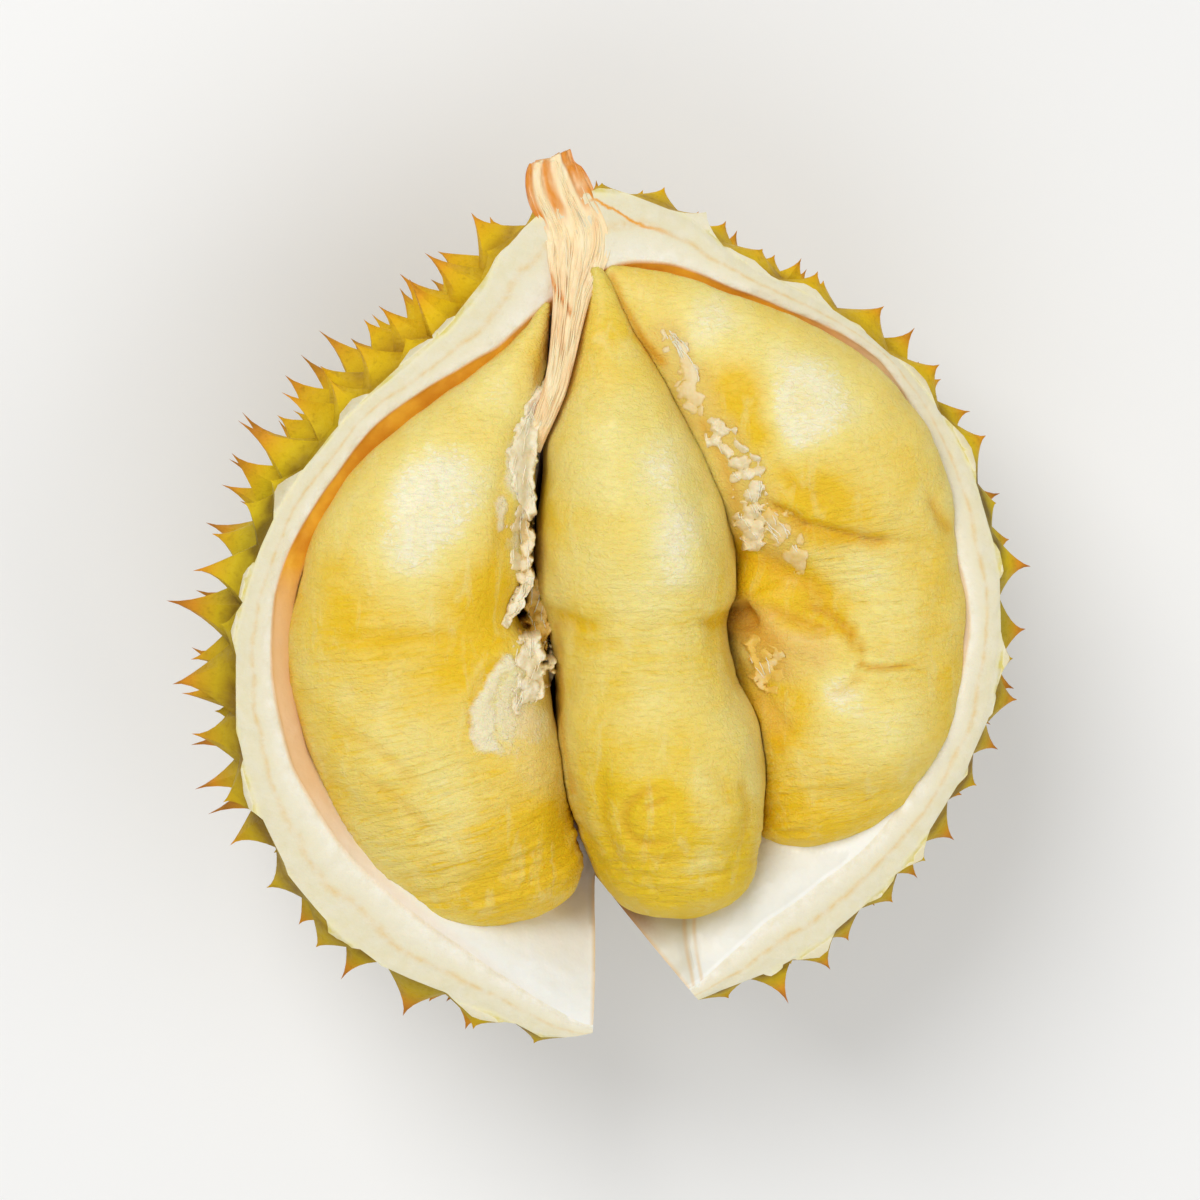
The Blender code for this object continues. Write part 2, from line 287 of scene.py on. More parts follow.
def thornySkin():
    made, tree, shader = newMaterial(
        "thornySkin", (0.004, 0.003, 0.001), Subsurface_Weight=0.04, Specular_IOR_Level=0.15,
    )
    rise = attributeOf(tree, "thornRise")  # 0 in the valleys, 1 at the tips
    patchy = noiseOf(tree, 60, 4)
    speckle = noiseOf(tree, 700, 3)
    streaks = noiseOf(tree, 420, 3, 0.6, (1, 1, 0.25))
    level = mathOf(tree, "ADD", rise, rangeOf(tree, patchy, 0.3, 0.7, -0.13, 0.13))
    colour = rampOf(tree, level, skinTones["rising"])
    place = putNode(tree, "ShaderNodeSeparateXYZ", {
        "Vector": putNode(tree, "ShaderNodeTexCoord").outputs["Object"],
    }).outputs
    toStem, up = place["Y"], place["Z"]
    aged = colour
    for name, source, low, high, most in (
        ("greener", patchy, 0.45, 0.75, 0.5),
        ("warmer", toStem, 0.02, 0.06, 0.45),
        ("older", toStem, 0.03, -0.02, 0.42),
    ):
        aged = mixOf(tree, rangeOf(tree, source, low, high, 0.0, most), aged, skinTones[name])
    tipped = mixOf(tree, rangeOf(tree, rise, 0.5, 0.7, 0.0, 0.6), aged, colour)
    # painted shade on the lower skin, where the fruit faces the floor
    under = mixOf(tree, rangeOf(tree, up, 0.075, 0.03, 0.0, 0.42), tipped, skinTones["undersideShade"])
    flecked = mixOf(tree, rangeOf(tree, speckle, 0.55, 0.75, 0.0, 0.35), under, skinTones["flecks"])
    tree.links.new(flecked, shader.inputs["Base Color"])
    tree.links.new(rangeOf(tree, speckle, 0.3, 0.7, 0.5, 0.7), shader.inputs["Roughness"])
    coarse = bumpOf(tree, streaks, 0.7, 0.8)
    tree.links.new(bumpOf(tree, speckle, 0.15, 0.5, coarse), shader.inputs["Normal"])
    return made


pithTones = {
    "across": [  # from the skin to the chambers
        (0.0, (0.68, 0.58, 0.16)), (0.045, (0.81, 0.75, 0.45)), (0.14, (0.74, 0.68, 0.46)),
        (0.40, (0.74, 0.68, 0.47)), (0.50, (0.74, 0.57, 0.29)), (0.58, (0.76, 0.70, 0.49)),
        (0.85, (0.83, 0.79, 0.66)), (1.0, (0.87, 0.85, 0.76)),
    ],
    "fibres": (0.77, 0.72, 0.55),
    "stain": (0.78, 0.34, 0.03),
    # pinkish tint of the ledge, partly painted shade
    "blushAndShade": (0.86, 0.60, 0.35),
}


def whitePith():
    made, tree, shader = newMaterial(
        "whitePith", (0.004, 0.003, 0.002), Roughness=0.78, Subsurface_Weight=0.25,
    )
    across = attributeOf(tree, "rimAcross")  # 0 at the skin, 1 at the inner edge
    wander = noiseOf(tree, 70, 3)
    fibres = noiseOf(tree, 260, 5, 0.6)
    fine = noiseOf(tree, 1100, 3, 0.6)
    place = mathOf(tree, "ADD", across, rangeOf(tree, wander, 0.3, 0.7, -0.08, 0.08))
    band = rampOf(tree, place, pithTones["across"])
    broken = mixOf(tree, rangeOf(tree, fibres, 0.38, 0.62, 0.0, 0.75), band, pithTones["fibres"])
    # a thin orange line runs out from the stem
    wavy = mathOf(tree, "ADD", attributeOf(tree, "besideLine"),
                  rangeOf(tree, fibres, 0.3, 0.7, -0.5, 0.5))
    line = mathOf(tree, "MULTIPLY", rangeOf(tree, mathOf(tree, "ABSOLUTE", wavy), 0.55, 0.1),
                  attributeOf(tree, "lineHere"))
    stain = mathOf(tree, "MAXIMUM", attributeOf(tree, "stain"), line)
    stained = mixOf(tree, stain, broken, pithTones["stain"])
    # pinkish tint of the ledge, partly painted shade
    pinked = mixOf(tree, attributeOf(tree, "blushAndShade"), stained, pithTones["blushAndShade"])
    tree.links.new(pinked, shader.inputs["Base Color"])
    coarse = bumpOf(tree, fibres, 0.7, 0.6)
    tree.links.new(bumpOf(tree, fine, 0.25, 0.6, coarse), shader.inputs["Normal"])
    return made


liningTones = {
    "white": ((0.85, 0.85, 0.81), (0.81, 0.81, 0.75)),  # in the folds, on them
    "stain": ((0.72, 0.29, 0.01), (0.87, 0.44, 0.025)),
    # pinkish tint of the ledge, partly painted shade
    "blushAndShade": (0.78, 0.47, 0.20),
    "shaded": (0.50, 0.47, 0.33),
    "dried": (0.72, 0.50, 0.24),  # along the last wall and the split
    # painted shade: low in the chambers, and a painted shadow along the left cut under the middle
    # lobe
    "deep": (0.30, 0.12, 0.012),
}


def satinLining():
    made, tree, shader = newMaterial(
        "satinLining", (0.004, 0.003, 0.002), Subsurface_Weight=0.2, Sheen_Weight=0.15,
    )
    folds = noiseOf(tree, 90, 4, 0.6, (1, 1, 0.35))
    fine = noiseOf(tree, 900, 3)
    white = mixOf(tree, rangeOf(tree, folds, 0.35, 0.7), *liningTones["white"])
    streaky = mixOf(tree, rangeOf(tree, folds, 0.35, 0.6), *liningTones["stain"])
    stained = mixOf(tree, attributeOf(tree, "stain"), white, streaky)
    # pinkish tint of the ledge, partly painted shade
    pinked = mixOf(tree, attributeOf(tree, "blushAndShade"), stained, liningTones["blushAndShade"])
    greyness = mathOf(tree, "MULTIPLY", attributeOf(tree, "shaded"), 0.4)
    greyed = mixOf(tree, greyness, pinked, liningTones["shaded"])
    # tan lines beside the wall between two chambers, and dried edges along the split
    apart = mathOf(tree, "ABSOLUTE", attributeOf(tree, "besideWall"))
    fromLine = mathOf(tree, "ABSOLUTE", mathOf(tree, "SUBTRACT", apart, 1.1))
    line = rangeOf(tree, fromLine, 0.7, 0.1, 0.0, 0.6)
    dried = rangeOf(tree, attributeOf(tree, "besideSplit"), 1.1, 0.1, 0.0, 0.75)
    edge = mathOf(tree, "MULTIPLY", mathOf(tree, "MAXIMUM", line, dried),
                  rangeOf(tree, folds, 0.3, 0.6, 0.5, 1.0))
    edged = mixOf(tree, edge, greyed, liningTones["dried"])
    # painted shade deep in the chambers, and a painted shadow of the middle lobe by the split
    shaded = mixOf(tree, attributeOf(tree, "deep"), edged, liningTones["deep"])
    tree.links.new(shaded, shader.inputs["Base Color"])
    tree.links.new(rangeOf(tree, folds, 0.3, 0.7, 0.38, 0.5), shader.inputs["Roughness"])
    coarse = bumpOf(tree, folds, 0.9, 0.6)
    tree.links.new(bumpOf(tree, fine, 0.1, 0.3, coarse), shader.inputs["Normal"])
    return made


pulpTones = {
    "cream": (0.88, 0.82, 0.56),  # palest, for pale patches and painted highlights
    "pale": {"side": (0.86, 0.72, 0.23), "middle": (0.84, 0.72, 0.25)},
    "golden": {"side": (0.82, 0.53, 0.008), "middle": (0.81, 0.55, 0.012)},
    "veins": (0.85, 0.72, 0.27),
    "tan": (0.80, 0.55, 0.14),
    "cotton": (0.86, 0.77, 0.50),
    # painted shade in creases, down the sides and along crevices
    "deep": (0.70, 0.33, 0.012),
}


def ripePulp(name, lobe):
    made, tree, shader = newMaterial(
        name, (0.009, 0.005, 0.0012), Subsurface_Weight=0.3, Subsurface_Scale=0.6,
        Coat_Weight=0.16, Coat_Roughness=0.3, Specular_IOR_Level=0.26,
    )
    ripeAndLight = attributeOf(tree, "ripeAndLight")  # below 0 cream, partly painted highlight; 0 pale; 1 deep golden, in places painted shade
    hollow = attributeOf(tree, "hollow")  # painted shade: 1 in creases, down the sides and along crevices
    cloud = noiseOf(tree, 55, 4, 0.5)
    veins = noiseOf(tree, 240, 4, 0.6, (1, 0.3, 1), 0.6)
    crinkle = noiseOf(tree, 850, 3, 0.6, (0.6, 1, 1), 1.2)
    pores = noiseOf(tree, 1500, 2)
    tatter = noiseOf(tree, 300, 5, 0.65)
    wrinkled = attributeOf(tree, "wrinkled")
    run = putNode(tree, "ShaderNodeAttribute", attribute_name="run").outputs["Vector"]
    across = putNode(tree, "ShaderNodeMapping", {"Vector": run, "Scale": (0.8, 0.15, 1)}).outputs[0]
    wrinkles = putNode(tree, "ShaderNodeTexNoise", {
        "Vector": across, "Scale": 1.0, "Detail": 4.0, "Roughness": 0.6, "Distortion": 1.1,
    }).outputs["Fac"]
    level = mathOf(tree, "ADD", ripeAndLight, rangeOf(tree, cloud, 0.3, 0.7, -0.27, 0.27))
    # painted shade in the grooves of the fine wrinkles
    wrinkleShade = mathOf(tree, "MULTIPLY", rangeOf(tree, wrinkles, 0.5, 0.3, 0.0, 0.55), wrinkled)
    level = mathOf(tree, "ADD", level, wrinkleShade)
    glints = mathOf(tree, "MULTIPLY", rangeOf(tree, crinkle, 0.52, 0.62, 0.0, 0.5),
                    rangeOf(tree, ripeAndLight, 0.1, -0.4))
    level = mathOf(tree, "SUBTRACT", level, glints)
    colour = rampOf(tree, rangeOf(tree, level, -0.6, 1.0), [
        (0.0, pulpTones["cream"]), (0.38, pulpTones["pale"][lobe]),
        (0.95, pulpTones["golden"][lobe]),
    ])
    veined = mixOf(tree, rangeOf(tree, veins, 0.52, 0.68, 0.0, 0.4), colour, pulpTones["veins"])
    tanned = mixOf(tree, attributeOf(tree, "tan"), veined, pulpTones["tan"])
    # cottony skin stays on it in patches with torn edges
    torn = rangeOf(tree, tatter, 0.35, 0.65, -0.22, 0.22)
    cotton = rangeOf(tree, mathOf(tree, "ADD", attributeOf(tree, "cottony"), torn), 0.26, 0.8)
    cottony = mixOf(tree, cotton, tanned, pulpTones["cotton"])
    # painted shade in creases, down the sides and along crevices
    deep = mixOf(tree, hollow, cottony, pulpTones["deep"])
    tree.links.new(deep, shader.inputs["Base Color"])
    tree.links.new(rangeOf(tree, cloud, 0.3, 0.7, 0.42, 0.56), shader.inputs["Roughness"])
    coarse = bumpOf(tree, veins, 0.25, 0.5)
    folded = bumpOf(tree, mathOf(tree, "MULTIPLY", wrinkles, wrinkled), 0.9, 0.9, coarse)
    paper = mathOf(tree, "MULTIPLY", mathOf(tree, "ADD", tatter, 0.5), cotton)
    papery = bumpOf(tree, paper, 0.6, 0.6, folded)
    finer = bumpOf(tree, crinkle, 0.6, 0.9, papery)
    tree.links.new(bumpOf(tree, pores, 0.06, 0.3, finer), shader.inputs["Normal"])
    return made


coreTones = {
    "fibres": [
        (0.28, (0.86, 0.58, 0.29)), (0.42, (0.90, 0.68, 0.38)), (0.55, (0.92, 0.75, 0.45)),
        (0.72, (0.93, 0.80, 0.54)),
    ],
    "rust": (0.72, 0.26, 0.02),
    "patches": (0.92, 0.72, 0.46),
}


def fibrousCore():
    made, tree, shader = newMaterial(
        "fibrousCore", (0.004, 0.002, 0.001), Roughness=0.72, Subsurface_Weight=0.18,
    )
    fibres = noiseOf(tree, 420, 4, 0.6, (1, 0.14, 1), 0.4)
    patchy = noiseOf(tree, 130, 3)
    colour = rampOf(tree, fibres, coreTones["fibres"])
    edged = mixOf(tree, attributeOf(tree, "rust"), colour, coreTones["rust"])
    patched = mixOf(tree, rangeOf(tree, patchy, 0.5, 0.7, 0.0, 0.3), edged, coreTones["patches"])
    tree.links.new(patched, shader.inputs["Base Color"])
    tree.links.new(bumpOf(tree, fibres, 0.6, 0.8), shader.inputs["Normal"])
    return made


placentaTones = {
    "lumps": [
        (0.28, (0.76, 0.63, 0.37)), (0.42, (0.81, 0.72, 0.50)), (0.58, (0.85, 0.79, 0.61)),
        (0.75, (0.89, 0.85, 0.71)),
    ],
    "rust": (0.76, 0.50, 0.09),
}


def drySpongy():
    made, tree, shader = newMaterial(
        "drySpongy", (0.004, 0.002, 0.001), Roughness=0.6, Subsurface_Weight=0.3,
    )
    lumps = noiseOf(tree, 240, 4, 0.6)
    fine = noiseOf(tree, 1000, 3)
    colour = rampOf(tree, lumps, placentaTones["lumps"])
    rusty = mixOf(tree, attributeOf(tree, "rust"), colour, placentaTones["rust"])
    tree.links.new(rusty, shader.inputs["Base Color"])
    coarse = bumpOf(tree, lumps, 0.5, 0.6)
    tree.links.new(bumpOf(tree, fine, 0.16, 0.5, coarse), shader.inputs["Normal"])
    return made


skinFinish = thornySkin()
pithFinish = whitePith()
liningFinish = satinLining()
sidePulp = ripePulp("goldenPulp", "side")
middlePulp = ripePulp("palePulp", "middle")
coreFinish = fibrousCore()
placentaFinish = drySpongy()
print("materials ready")


husk = {
    "backHeight": 8.5,  # lowest point of the rind between its thorns
    "rimAngle": 97,  # from the lowest point up to the rim
    "meanRadius": 94.0,
    "backRounding": 1.8,
    "rimRadii": [  # by angle in degrees from +X
        (0, 93.0), (20, 91.5), (40, 90.0), (57, 88.0), (70, 88.0), (82, 96.0), (92, 101.5),
        (103, 97.0), (113, 85.0), (123, 79.0), (140, 79.5), (158, 84.0), (175, 90.0),
        (193, 95.7), (208, 100.0), (221, 104.5), (235, 104.5), (249, 103.0), (264, 106.0),
        (281, 97.5), (296, 96.2), (312, 94.3), (330, 93.5), (346, 94.2),
    ],
    "thorns": 640,
    "thornLength": 11.0,
    "thornSpread": 0.14,
    "smallThorns": 0.35,  # how much shorter some of them stay
    "thornJitter": 0.3,
    "thornRings": 6,
    "thornHollow": 1.8,  # above 1 the flanks curve in
    "thornBend": 0.16,  # share of the length that tips lean by
    "rimMargin": 4.5,
    "rimThorns": [  # how long the thorns by the rim grow, by angle in degrees from +X
        (0, 0.62), (30, 0.68), (48, 0.7), (60, 0.65), (75, 0.6), (96, 0.6), (104, 0.8),
        (112, 1.15), (135, 1.35), (180, 1.4), (215, 1.25), (235, 0.9), (255, 0.75), (275, 0.65),
        (300, 0.6), (330, 0.6),
    ],
    "rimReach": (35, 25),  # they change so from this height on, over so much
    "thornLeast": 0.0004,  # in metres, shorter ones don't grow at all
    "thornTaper": 0.93,  # how much of a thorn's width is lost on its way up
    "splitMargin": 14.0,
    "stemCollar": ((-12.5, 95, 90), 8.0),
    "splitEnd": (-4.2, -69.0),
    "splitTips": ((-7.5, -107.0), (18.5, -95.5)),
    "splitBeyond": 2.2,  # the cut goes on past its tips, as a share of its length
    "splitOver": (5, 30),  # and past the table and the rim
    "seed": 11,
    "sharpAngle": 48,
}

hollow = {
    "sides": 500,
    "clearance": [  # outside the rim: how far out, and how high over thorns that stay whole
        (45, 34), (14, 12), (5, 5), (2, 1.6), (0.8, 0.2),
    ],
    "rimRows": 18,
    "skinEdge": (0.9, 1.0),  # the pith rounds off at the skin: how low, over how much
    "lipEdge": (0.8, 0.8),  # and at the lip
    "wallRows": 76,
    "floorRows": 24,
    "mostInset": 0.75,  # as a share of the lip's distance from the middle
    "pole": 1.5,  # radius of the last ring, in the middle of the floor
    "wavy": ((0.5, 9, 3, 1), (0.3, 2.6, 2, 2)),  # unevenness: height, size, octaves, seed
    "lip": [  # where the pith ends and the chambers begin, anticlockwise, seen from above
        (84, 4), (81, 14), (80, 24), (77, 33), (73, 43), (67.5, 53), (62, 60), (53, 66),
        (40, 71.5), (26, 77), (12, 82.5), (2, 83), (-7, 80), (-13, 77), (-18, 73), (-25, 67),
        (-30, 62.5), (-40, 57), (-50, 51), (-60, 43.5), (-68, 33), (-75, 23), (-80, 14),
        (-83, 5), (-84, -5), (-84, -16), (-82, -27), (-79.5, -37), (-74, -47), (-67.5, -57),
        (-58, -67), (-48, -75.5), (-39, -82), (-28, -90), (-16, -98), (-8, -102.5), (6, -98),
        (18.5, -92.5), (25, -86.5), (35, -77.5), (49, -67.5), (59, -60), (69.5, -47),
        (76, -37), (80, -27), (83, -16), (85, -6),
    ],
    "wall": [  # depth under the rim, and how far the wall has moved inwards
        (0, 0), (2, 0.8), (6, 1.8), (14, 3.2), (26, 5.0), (38, 9.0), (48, 15), (56, 23), (62, 33),
    ],
    "ledges": [  # width of the lining's edge inside the lip, by angle in degrees from +X
        (0, 1.0), (20, 1.0), (45, 1.2), (60, 1.6), (80, 1.6), (95, 1.0), (104, 1.6), (114, 3.0),
        (126, 3.8), (155, 3.8), (190, 3.6), (206, 3.2), (218, 1.8), (232, 0.8), (250, 0.5),
        (262, 0.2), (300, 0), (330, 0.6),
    ],
    "slopes": [  # how gently the walls go down, 1 is steep
        (0, 1), (205, 1), (222, 1.8), (240, 4.0), (256, 6.0), (290, 7.0), (312, 6.0), (326, 2.6),
        (342, 1),
    ],
    "floor": 65,  # depth of the chamber floors
    "ledgeDepth": (3, 11, 7),  # where a ledge is whole, where it ends, and how softly
    "cutThorns": (50, 98),  # degrees from +X
    "routeSteps": 80,
    "septa": [  # walls between the chambers: route, half thickness, slope, depths of the top
        ([(-12, 80), (-16, 55), (-20, 28), (-21, 2), (-18, -25), (-11, -50), (-5, -72)],
         0.9, 2.6, (2, 12, 22, 24, 24, 25, 34)),
        ([(-3, 80), (10, 58), (22, 30), (28, 2), (31, -28), (26, -54), (17.5, -76), (18.8, -94)],
         0.8, 2.6, (2, 14, 22, 24, 24, 22, 10, 0.5)),
    ],
    "crest": (1.3, 1.2, 0.87),  # of the last wall: height, half width, where it comes up
    "stepDown": 1.6,  # how much lower the lining is on its left
    "stepFrom": (-4, -60),  # to the right of the first, and below the second
    "roof": 80,  # how far above the rim the cut goes on
}


def turnTable(table, degrees):
    # reads a value from a table of (angle in degrees, value)
    turns, values = np.array(table, float).T
    return np.interp(degrees % 360, turns, values, period=360)


def rimRadius(around):
    # a smooth bend through the rim's radii, all the way round
    turns, radii = np.array(husk["rimRadii"], float).T
    turns = np.r_[turns[-1] - 360, turns, turns[:3] + 360]
    radii = np.r_[radii[-1], radii, radii[:3]]
    degrees = np.degrees(around) % 360
    span = np.searchsorted(turns[1:-2], degrees, side="right")
    t = (degrees - turns[span]) / (turns[span + 1] - turns[span])
    return catmullRom(*(radii[span + k] for k in (-1, 0, 1, 2)), t)


def longerByRim(places):
    # how many times as long thorns grow by the rim as on the back
    turns = np.degrees(np.arctan2(places[:, 1], places[:, 0]))
    low, over = husk["rimReach"]
    return 1 + (turnTable(husk["rimThorns"], turns) - 1) * smoothStep((places[:, 2] - low) / over)


def rindPlaces(directions):
    # where the skin between the thorns lies, for directions from inside the fruit
    around = np.arctan2(directions[:, 1], directions[:, 0])
    rise = np.arccos(np.clip(-directions[:, 2], -1, 1))
    rimAngle = math.radians(husk["rimAngle"])
    share = np.minimum(rise / rimAngle, 1) ** husk["backRounding"]
    outline = husk["meanRadius"] + (rimRadius(around) - husk["meanRadius"]) * share
    radius = outline * np.sin(rise) / math.sin(rimAngle)
    depth = rimHeight - husk["backHeight"]
    height = husk["backHeight"] + depth * (1 - np.cos(rise)) / (1 - math.cos(rimAngle))
    return np.column_stack([radius * np.cos(around), radius * np.sin(around), height])


def thornNet():
    # one vertex for each thorn, in a golden-angle spiral, with the length it grows to
    chance = random.Random(husk["seed"])
    count = husk["thorns"]
    spacing = math.sqrt(4 * math.pi / count)
    golden = math.pi * (3 - math.sqrt(5))
    bm = bmesh.new()
    directions = []
    for index in range(count):
        height = -1 + (2 * index + 1) / count
        ring = math.sqrt(1 - height * height)
        place = Vector((ring * math.cos(index * golden), ring * math.sin(index * golden), height))
        stray = Vector([chance.uniform(-1, 1) for _ in range(3)])
        direction = (place + stray * spacing * husk["thornJitter"]).normalized()
        directions.append(direction)
        bm.verts.new(direction)
    bmesh.ops.convex_hull(bm, input=bm.verts)
    bmesh.ops.recalc_face_normals(bm, faces=bm.faces)
    places = rindPlaces(np.array(directions))
    for vertex, place in zip(bm.verts, places):
        vertex.co = Vector(place) * mm
    mesh = bpy.data.meshes.new("thornNet")
    bm.to_mesh(mesh)
    bm.free()
    toSplit = np.min([
        distanceToLine(places, [husk["splitEnd"], tip])[0] for tip in husk["splitTips"]
    ], axis=0)
    stemBase, collar = husk["stemCollar"]
    toStem = np.linalg.norm(places - np.array(stemBase), axis=1) - collar
    grown = np.minimum.reduce([
        (rimHeight - places[:, 2]) / husk["rimMargin"], toSplit / husk["splitMargin"],
        toStem / husk["rimMargin"],
    ])
    grown = smoothStep(grown) * longerByRim(places)
    spread = np.array([chance.uniform(-1, 1) for _ in range(count)])
    spread = spread * husk["thornSpread"] + np.minimum(spread, 0) * husk["smallThorns"]
    setFloats(mesh, "thornLength", husk["thornLength"] * mm * (1 + spread) * grown)
    way = np.array([[chance.gauss(0, 0.5) for _ in range(3)] for _ in range(count)])
    setVectors(mesh, "thornLean", way * husk["thornBend"])
    return newObject("thornNet", mesh)


def thornGrower():
    # turns the net into cells, and raises a hollow-flanked thorn on each cell
    tree, given = treeWith("thornGrower", {
        "Rings": "Int", "Hollow": "Float", "Finish": "Material",
    })
    cells = putNode(tree, "GeometryNodeDualMesh", {"Mesh": given["Geometry"]}).outputs[0]
    length = putNode(tree, "GeometryNodeInputNamedAttribute", {"Name": "thornLength"}).outputs[0]
    lean = putNode(tree, "GeometryNodeInputNamedAttribute", {"Name": "thornLean"},
                   data_type="FLOAT_VECTOR").outputs[0]
    start = putNode(tree, "GeometryNodeRepeatInput")
    end = putNode(tree, "GeometryNodeRepeatOutput")
    start.pair_with_output(end)
    end.repeat_items.new("BOOLEAN", "Top")
    long = putNode(tree, "FunctionNodeCompare", {0: length, 1: husk["thornLeast"]}).outputs[0]
    tree.links.new(given["Rings"], start.inputs["Iterations"])
    tree.links.new(cells, start.inputs["Geometry"])
    tree.links.new(long, start.inputs["Top"])
    left = mathOf(tree, "SUBTRACT", given["Rings"], start.outputs["Iteration"])
    ratio = mathOf(tree, "DIVIDE", mathOf(tree, "SUBTRACT", left, husk["thornTaper"]), left)
    narrowing = mathOf(tree, "POWER", ratio, given["Hollow"])
    step = mathOf(tree, "DIVIDE", length, given["Rings"])
    grown = putNode(tree, "GeometryNodeExtrudeMesh", {
        "Mesh": start.outputs["Geometry"], "Selection": start.outputs["Top"],
        "Offset Scale": step,
    })
    narrowed = putNode(tree, "GeometryNodeScaleElements", {
        "Geometry": grown.outputs["Mesh"], "Selection": grown.outputs["Top"], "Scale": narrowing,
    })
    further = mathOf(tree, "DIVIDE", start.outputs["Iteration"], 2.0)  # tips bend the most
    bend = mathOf(tree, "MULTIPLY", step, further)
    lent = putNode(tree, "ShaderNodeVectorMath", {0: lean, "Scale": bend}, operation="SCALE")
    bent = putNode(tree, "GeometryNodeSetPosition", {
        "Geometry": narrowed.outputs[0], "Selection": grown.outputs["Top"],
        "Offset": lent.outputs[0],
    })
    tree.links.new(bent.outputs[0], end.inputs["Geometry"])
    tree.links.new(grown.outputs["Top"], end.inputs["Top"])
    return endTree(tree, end.outputs["Geometry"], given["Finish"])


def lipRadius(around):
    # distance of the lip from the middle, a little softened between its points
    step, reach, softness = 0.5, 6, 3.0
    lip = np.array(hollow["lip"], float)
    degrees = np.degrees(np.arctan2(lip[:, 1], lip[:, 0])) % 360
    order = np.argsort(degrees)
    radii = np.hypot(lip[:, 0], lip[:, 1])
    turns = np.arange(0, 360, step)
    even = np.interp(turns, degrees[order], radii[order], period=360)
    kernel = bell(np.arange(-reach, reach + 1), softness)
    soft = np.convolve(np.r_[even[-reach:], even, even[:reach]], kernel / kernel.sum(), "valid")
    return np.interp(np.degrees(around) % 360, turns, soft, period=360)


def besideWall(places):
    # how far to the right of the last wall between the chambers
    route = curveThrough(hollow["septa"][-1][0], hollow["routeSteps"])[::-1]
    return places[:, 0] - np.interp(places[:, 1], route[:, 1], route[:, 0])


def openingRows(around):
    # rings from outside the rim over the pith, down the chamber walls and over the floors
    outline, lip = rimRadius(around), lipRadius(around)
    band = outline - lip
    rows = []

    def addRow(radius, height):
        rows.append(np.column_stack([radius * np.cos(around), radius * np.sin(around), height]))

    level = np.full(len(around), rimHeight)
    # thorns outside the rim stay whole, but for those cut with it at the upper right
    low, high = hollow["cutThorns"]
    turns = np.degrees(around) % 360
    whole = 1 - smoothStep((turns - low) / 6) * smoothStep((high - turns) / 6)
    (skinDrop, skinOver), (lipDrop, lipOver) = hollow["skinEdge"], hollow["lipEdge"]
    for beyond, over in hollow["clearance"]:
        addRow(outline + beyond, level - skinDrop + over * whole)
    for share in np.linspace(-0.02, 1, hollow["rimRows"]):
        gap, inner = share * band, (1 - share) * band
        crown = -skinDrop * np.exp(-np.maximum(gap, 0) / skinOver)
        addRow(outline - gap, level + (crown - lipDrop * np.exp(-inner / lipOver)))
    pithRows = len(rows)
    slope, ledge = turnTable(hollow["slopes"], turns), turnTable(hollow["ledges"], turns)
    depths, insets = curveThrough(hollow["wall"], hollow["wallRows"]).T
    whereWhole, whereEnded, softly = hollow["ledgeDepth"]
    for depth, inset in zip(depths[1:], insets[1:]):
        jut = ledge * smoothStep(depth / whereWhole) * smoothStep((whereEnded - depth) / softly)
        foot = lip - np.minimum(inset * slope + jut, hollow["mostInset"] * lip)
        addRow(foot, level - lipDrop - depth)
    further = hollow["floor"] - depths[-1]
    for share in np.linspace(0, 1, hollow["floorRows"])[1:]:
        sunk = level - lipDrop - depths[-1] - further * smoothStep(share * 3)
        addRow(foot * (1 - share) + hollow["pole"] * share, sunk)
    return np.array(rows), pithRows


def raiseSepta(flat, inside):
    # the walls between the chambers, with a crest on the last one and a step beside it
    for route, half, slope, tops in hollow["septa"]:
        gap, along = distanceToLine(flat, curveThrough(route, hollow["routeSteps"]))
        top = rimHeight - np.interp(along, np.linspace(0, 1, len(tops)), tops)
        ridge = top - slope * np.maximum(gap - half, 0) - 0.4 * (np.minimum(gap, half) / half) ** 2
        flat[:, 2] = np.where(inside, np.maximum(flat[:, 2], ridge), flat[:, 2])
    height, width, start = hollow["crest"]
    crest = height * bell(gap, width) * smoothStep((along - start) / 0.03)
    step = hollow["stepDown"] * smoothStep(-besideWall(flat) / 2.5)
    rightOf, below = hollow["stepFrom"]
    step = step * (flat[:, 1] < below) * (flat[:, 0] > rightOf)
    under = smoothStep((rimHeight - 1.2 - flat[:, 2]) / 3)  # not on the pith
    flat[:, 2] += np.where(inside, crest * np.minimum(under + 0.3, 1) - step * under, 0)


def openingCutter():
    # everything over the split face: crowned pith, steep chamber walls, floors and septa
    around = anglesOf(hollow["sides"])
    grid, pithRows = openingRows(around)
    flat = grid.reshape(-1, 3)
    inside = np.repeat(np.arange(len(grid)) >= pithRows, len(around))
    wavy = sum(high * noiseAt(flat, *grain) for high, *grain in hollow["wavy"])
    flat[:, 2] += np.where(inside, wavy * 0.5, wavy)
    raiseSepta(flat, inside)
    roof = np.array(grid[0])
    roof[:, 2] = rimHeight + hollow["roof"]
    mesh = gridMesh("opening", np.concatenate([roof[None], grid]))
    for finish in (pithFinish, liningFinish):
        mesh.materials.append(finish)
    for face in mesh.polygons:
        row = min(mesh.loops[k].vertex_index for k in face.loop_indices) // len(around)
        face.material_index = int(row > pithRows)
    faceOut(mesh)
    return newObject("opening", mesh)


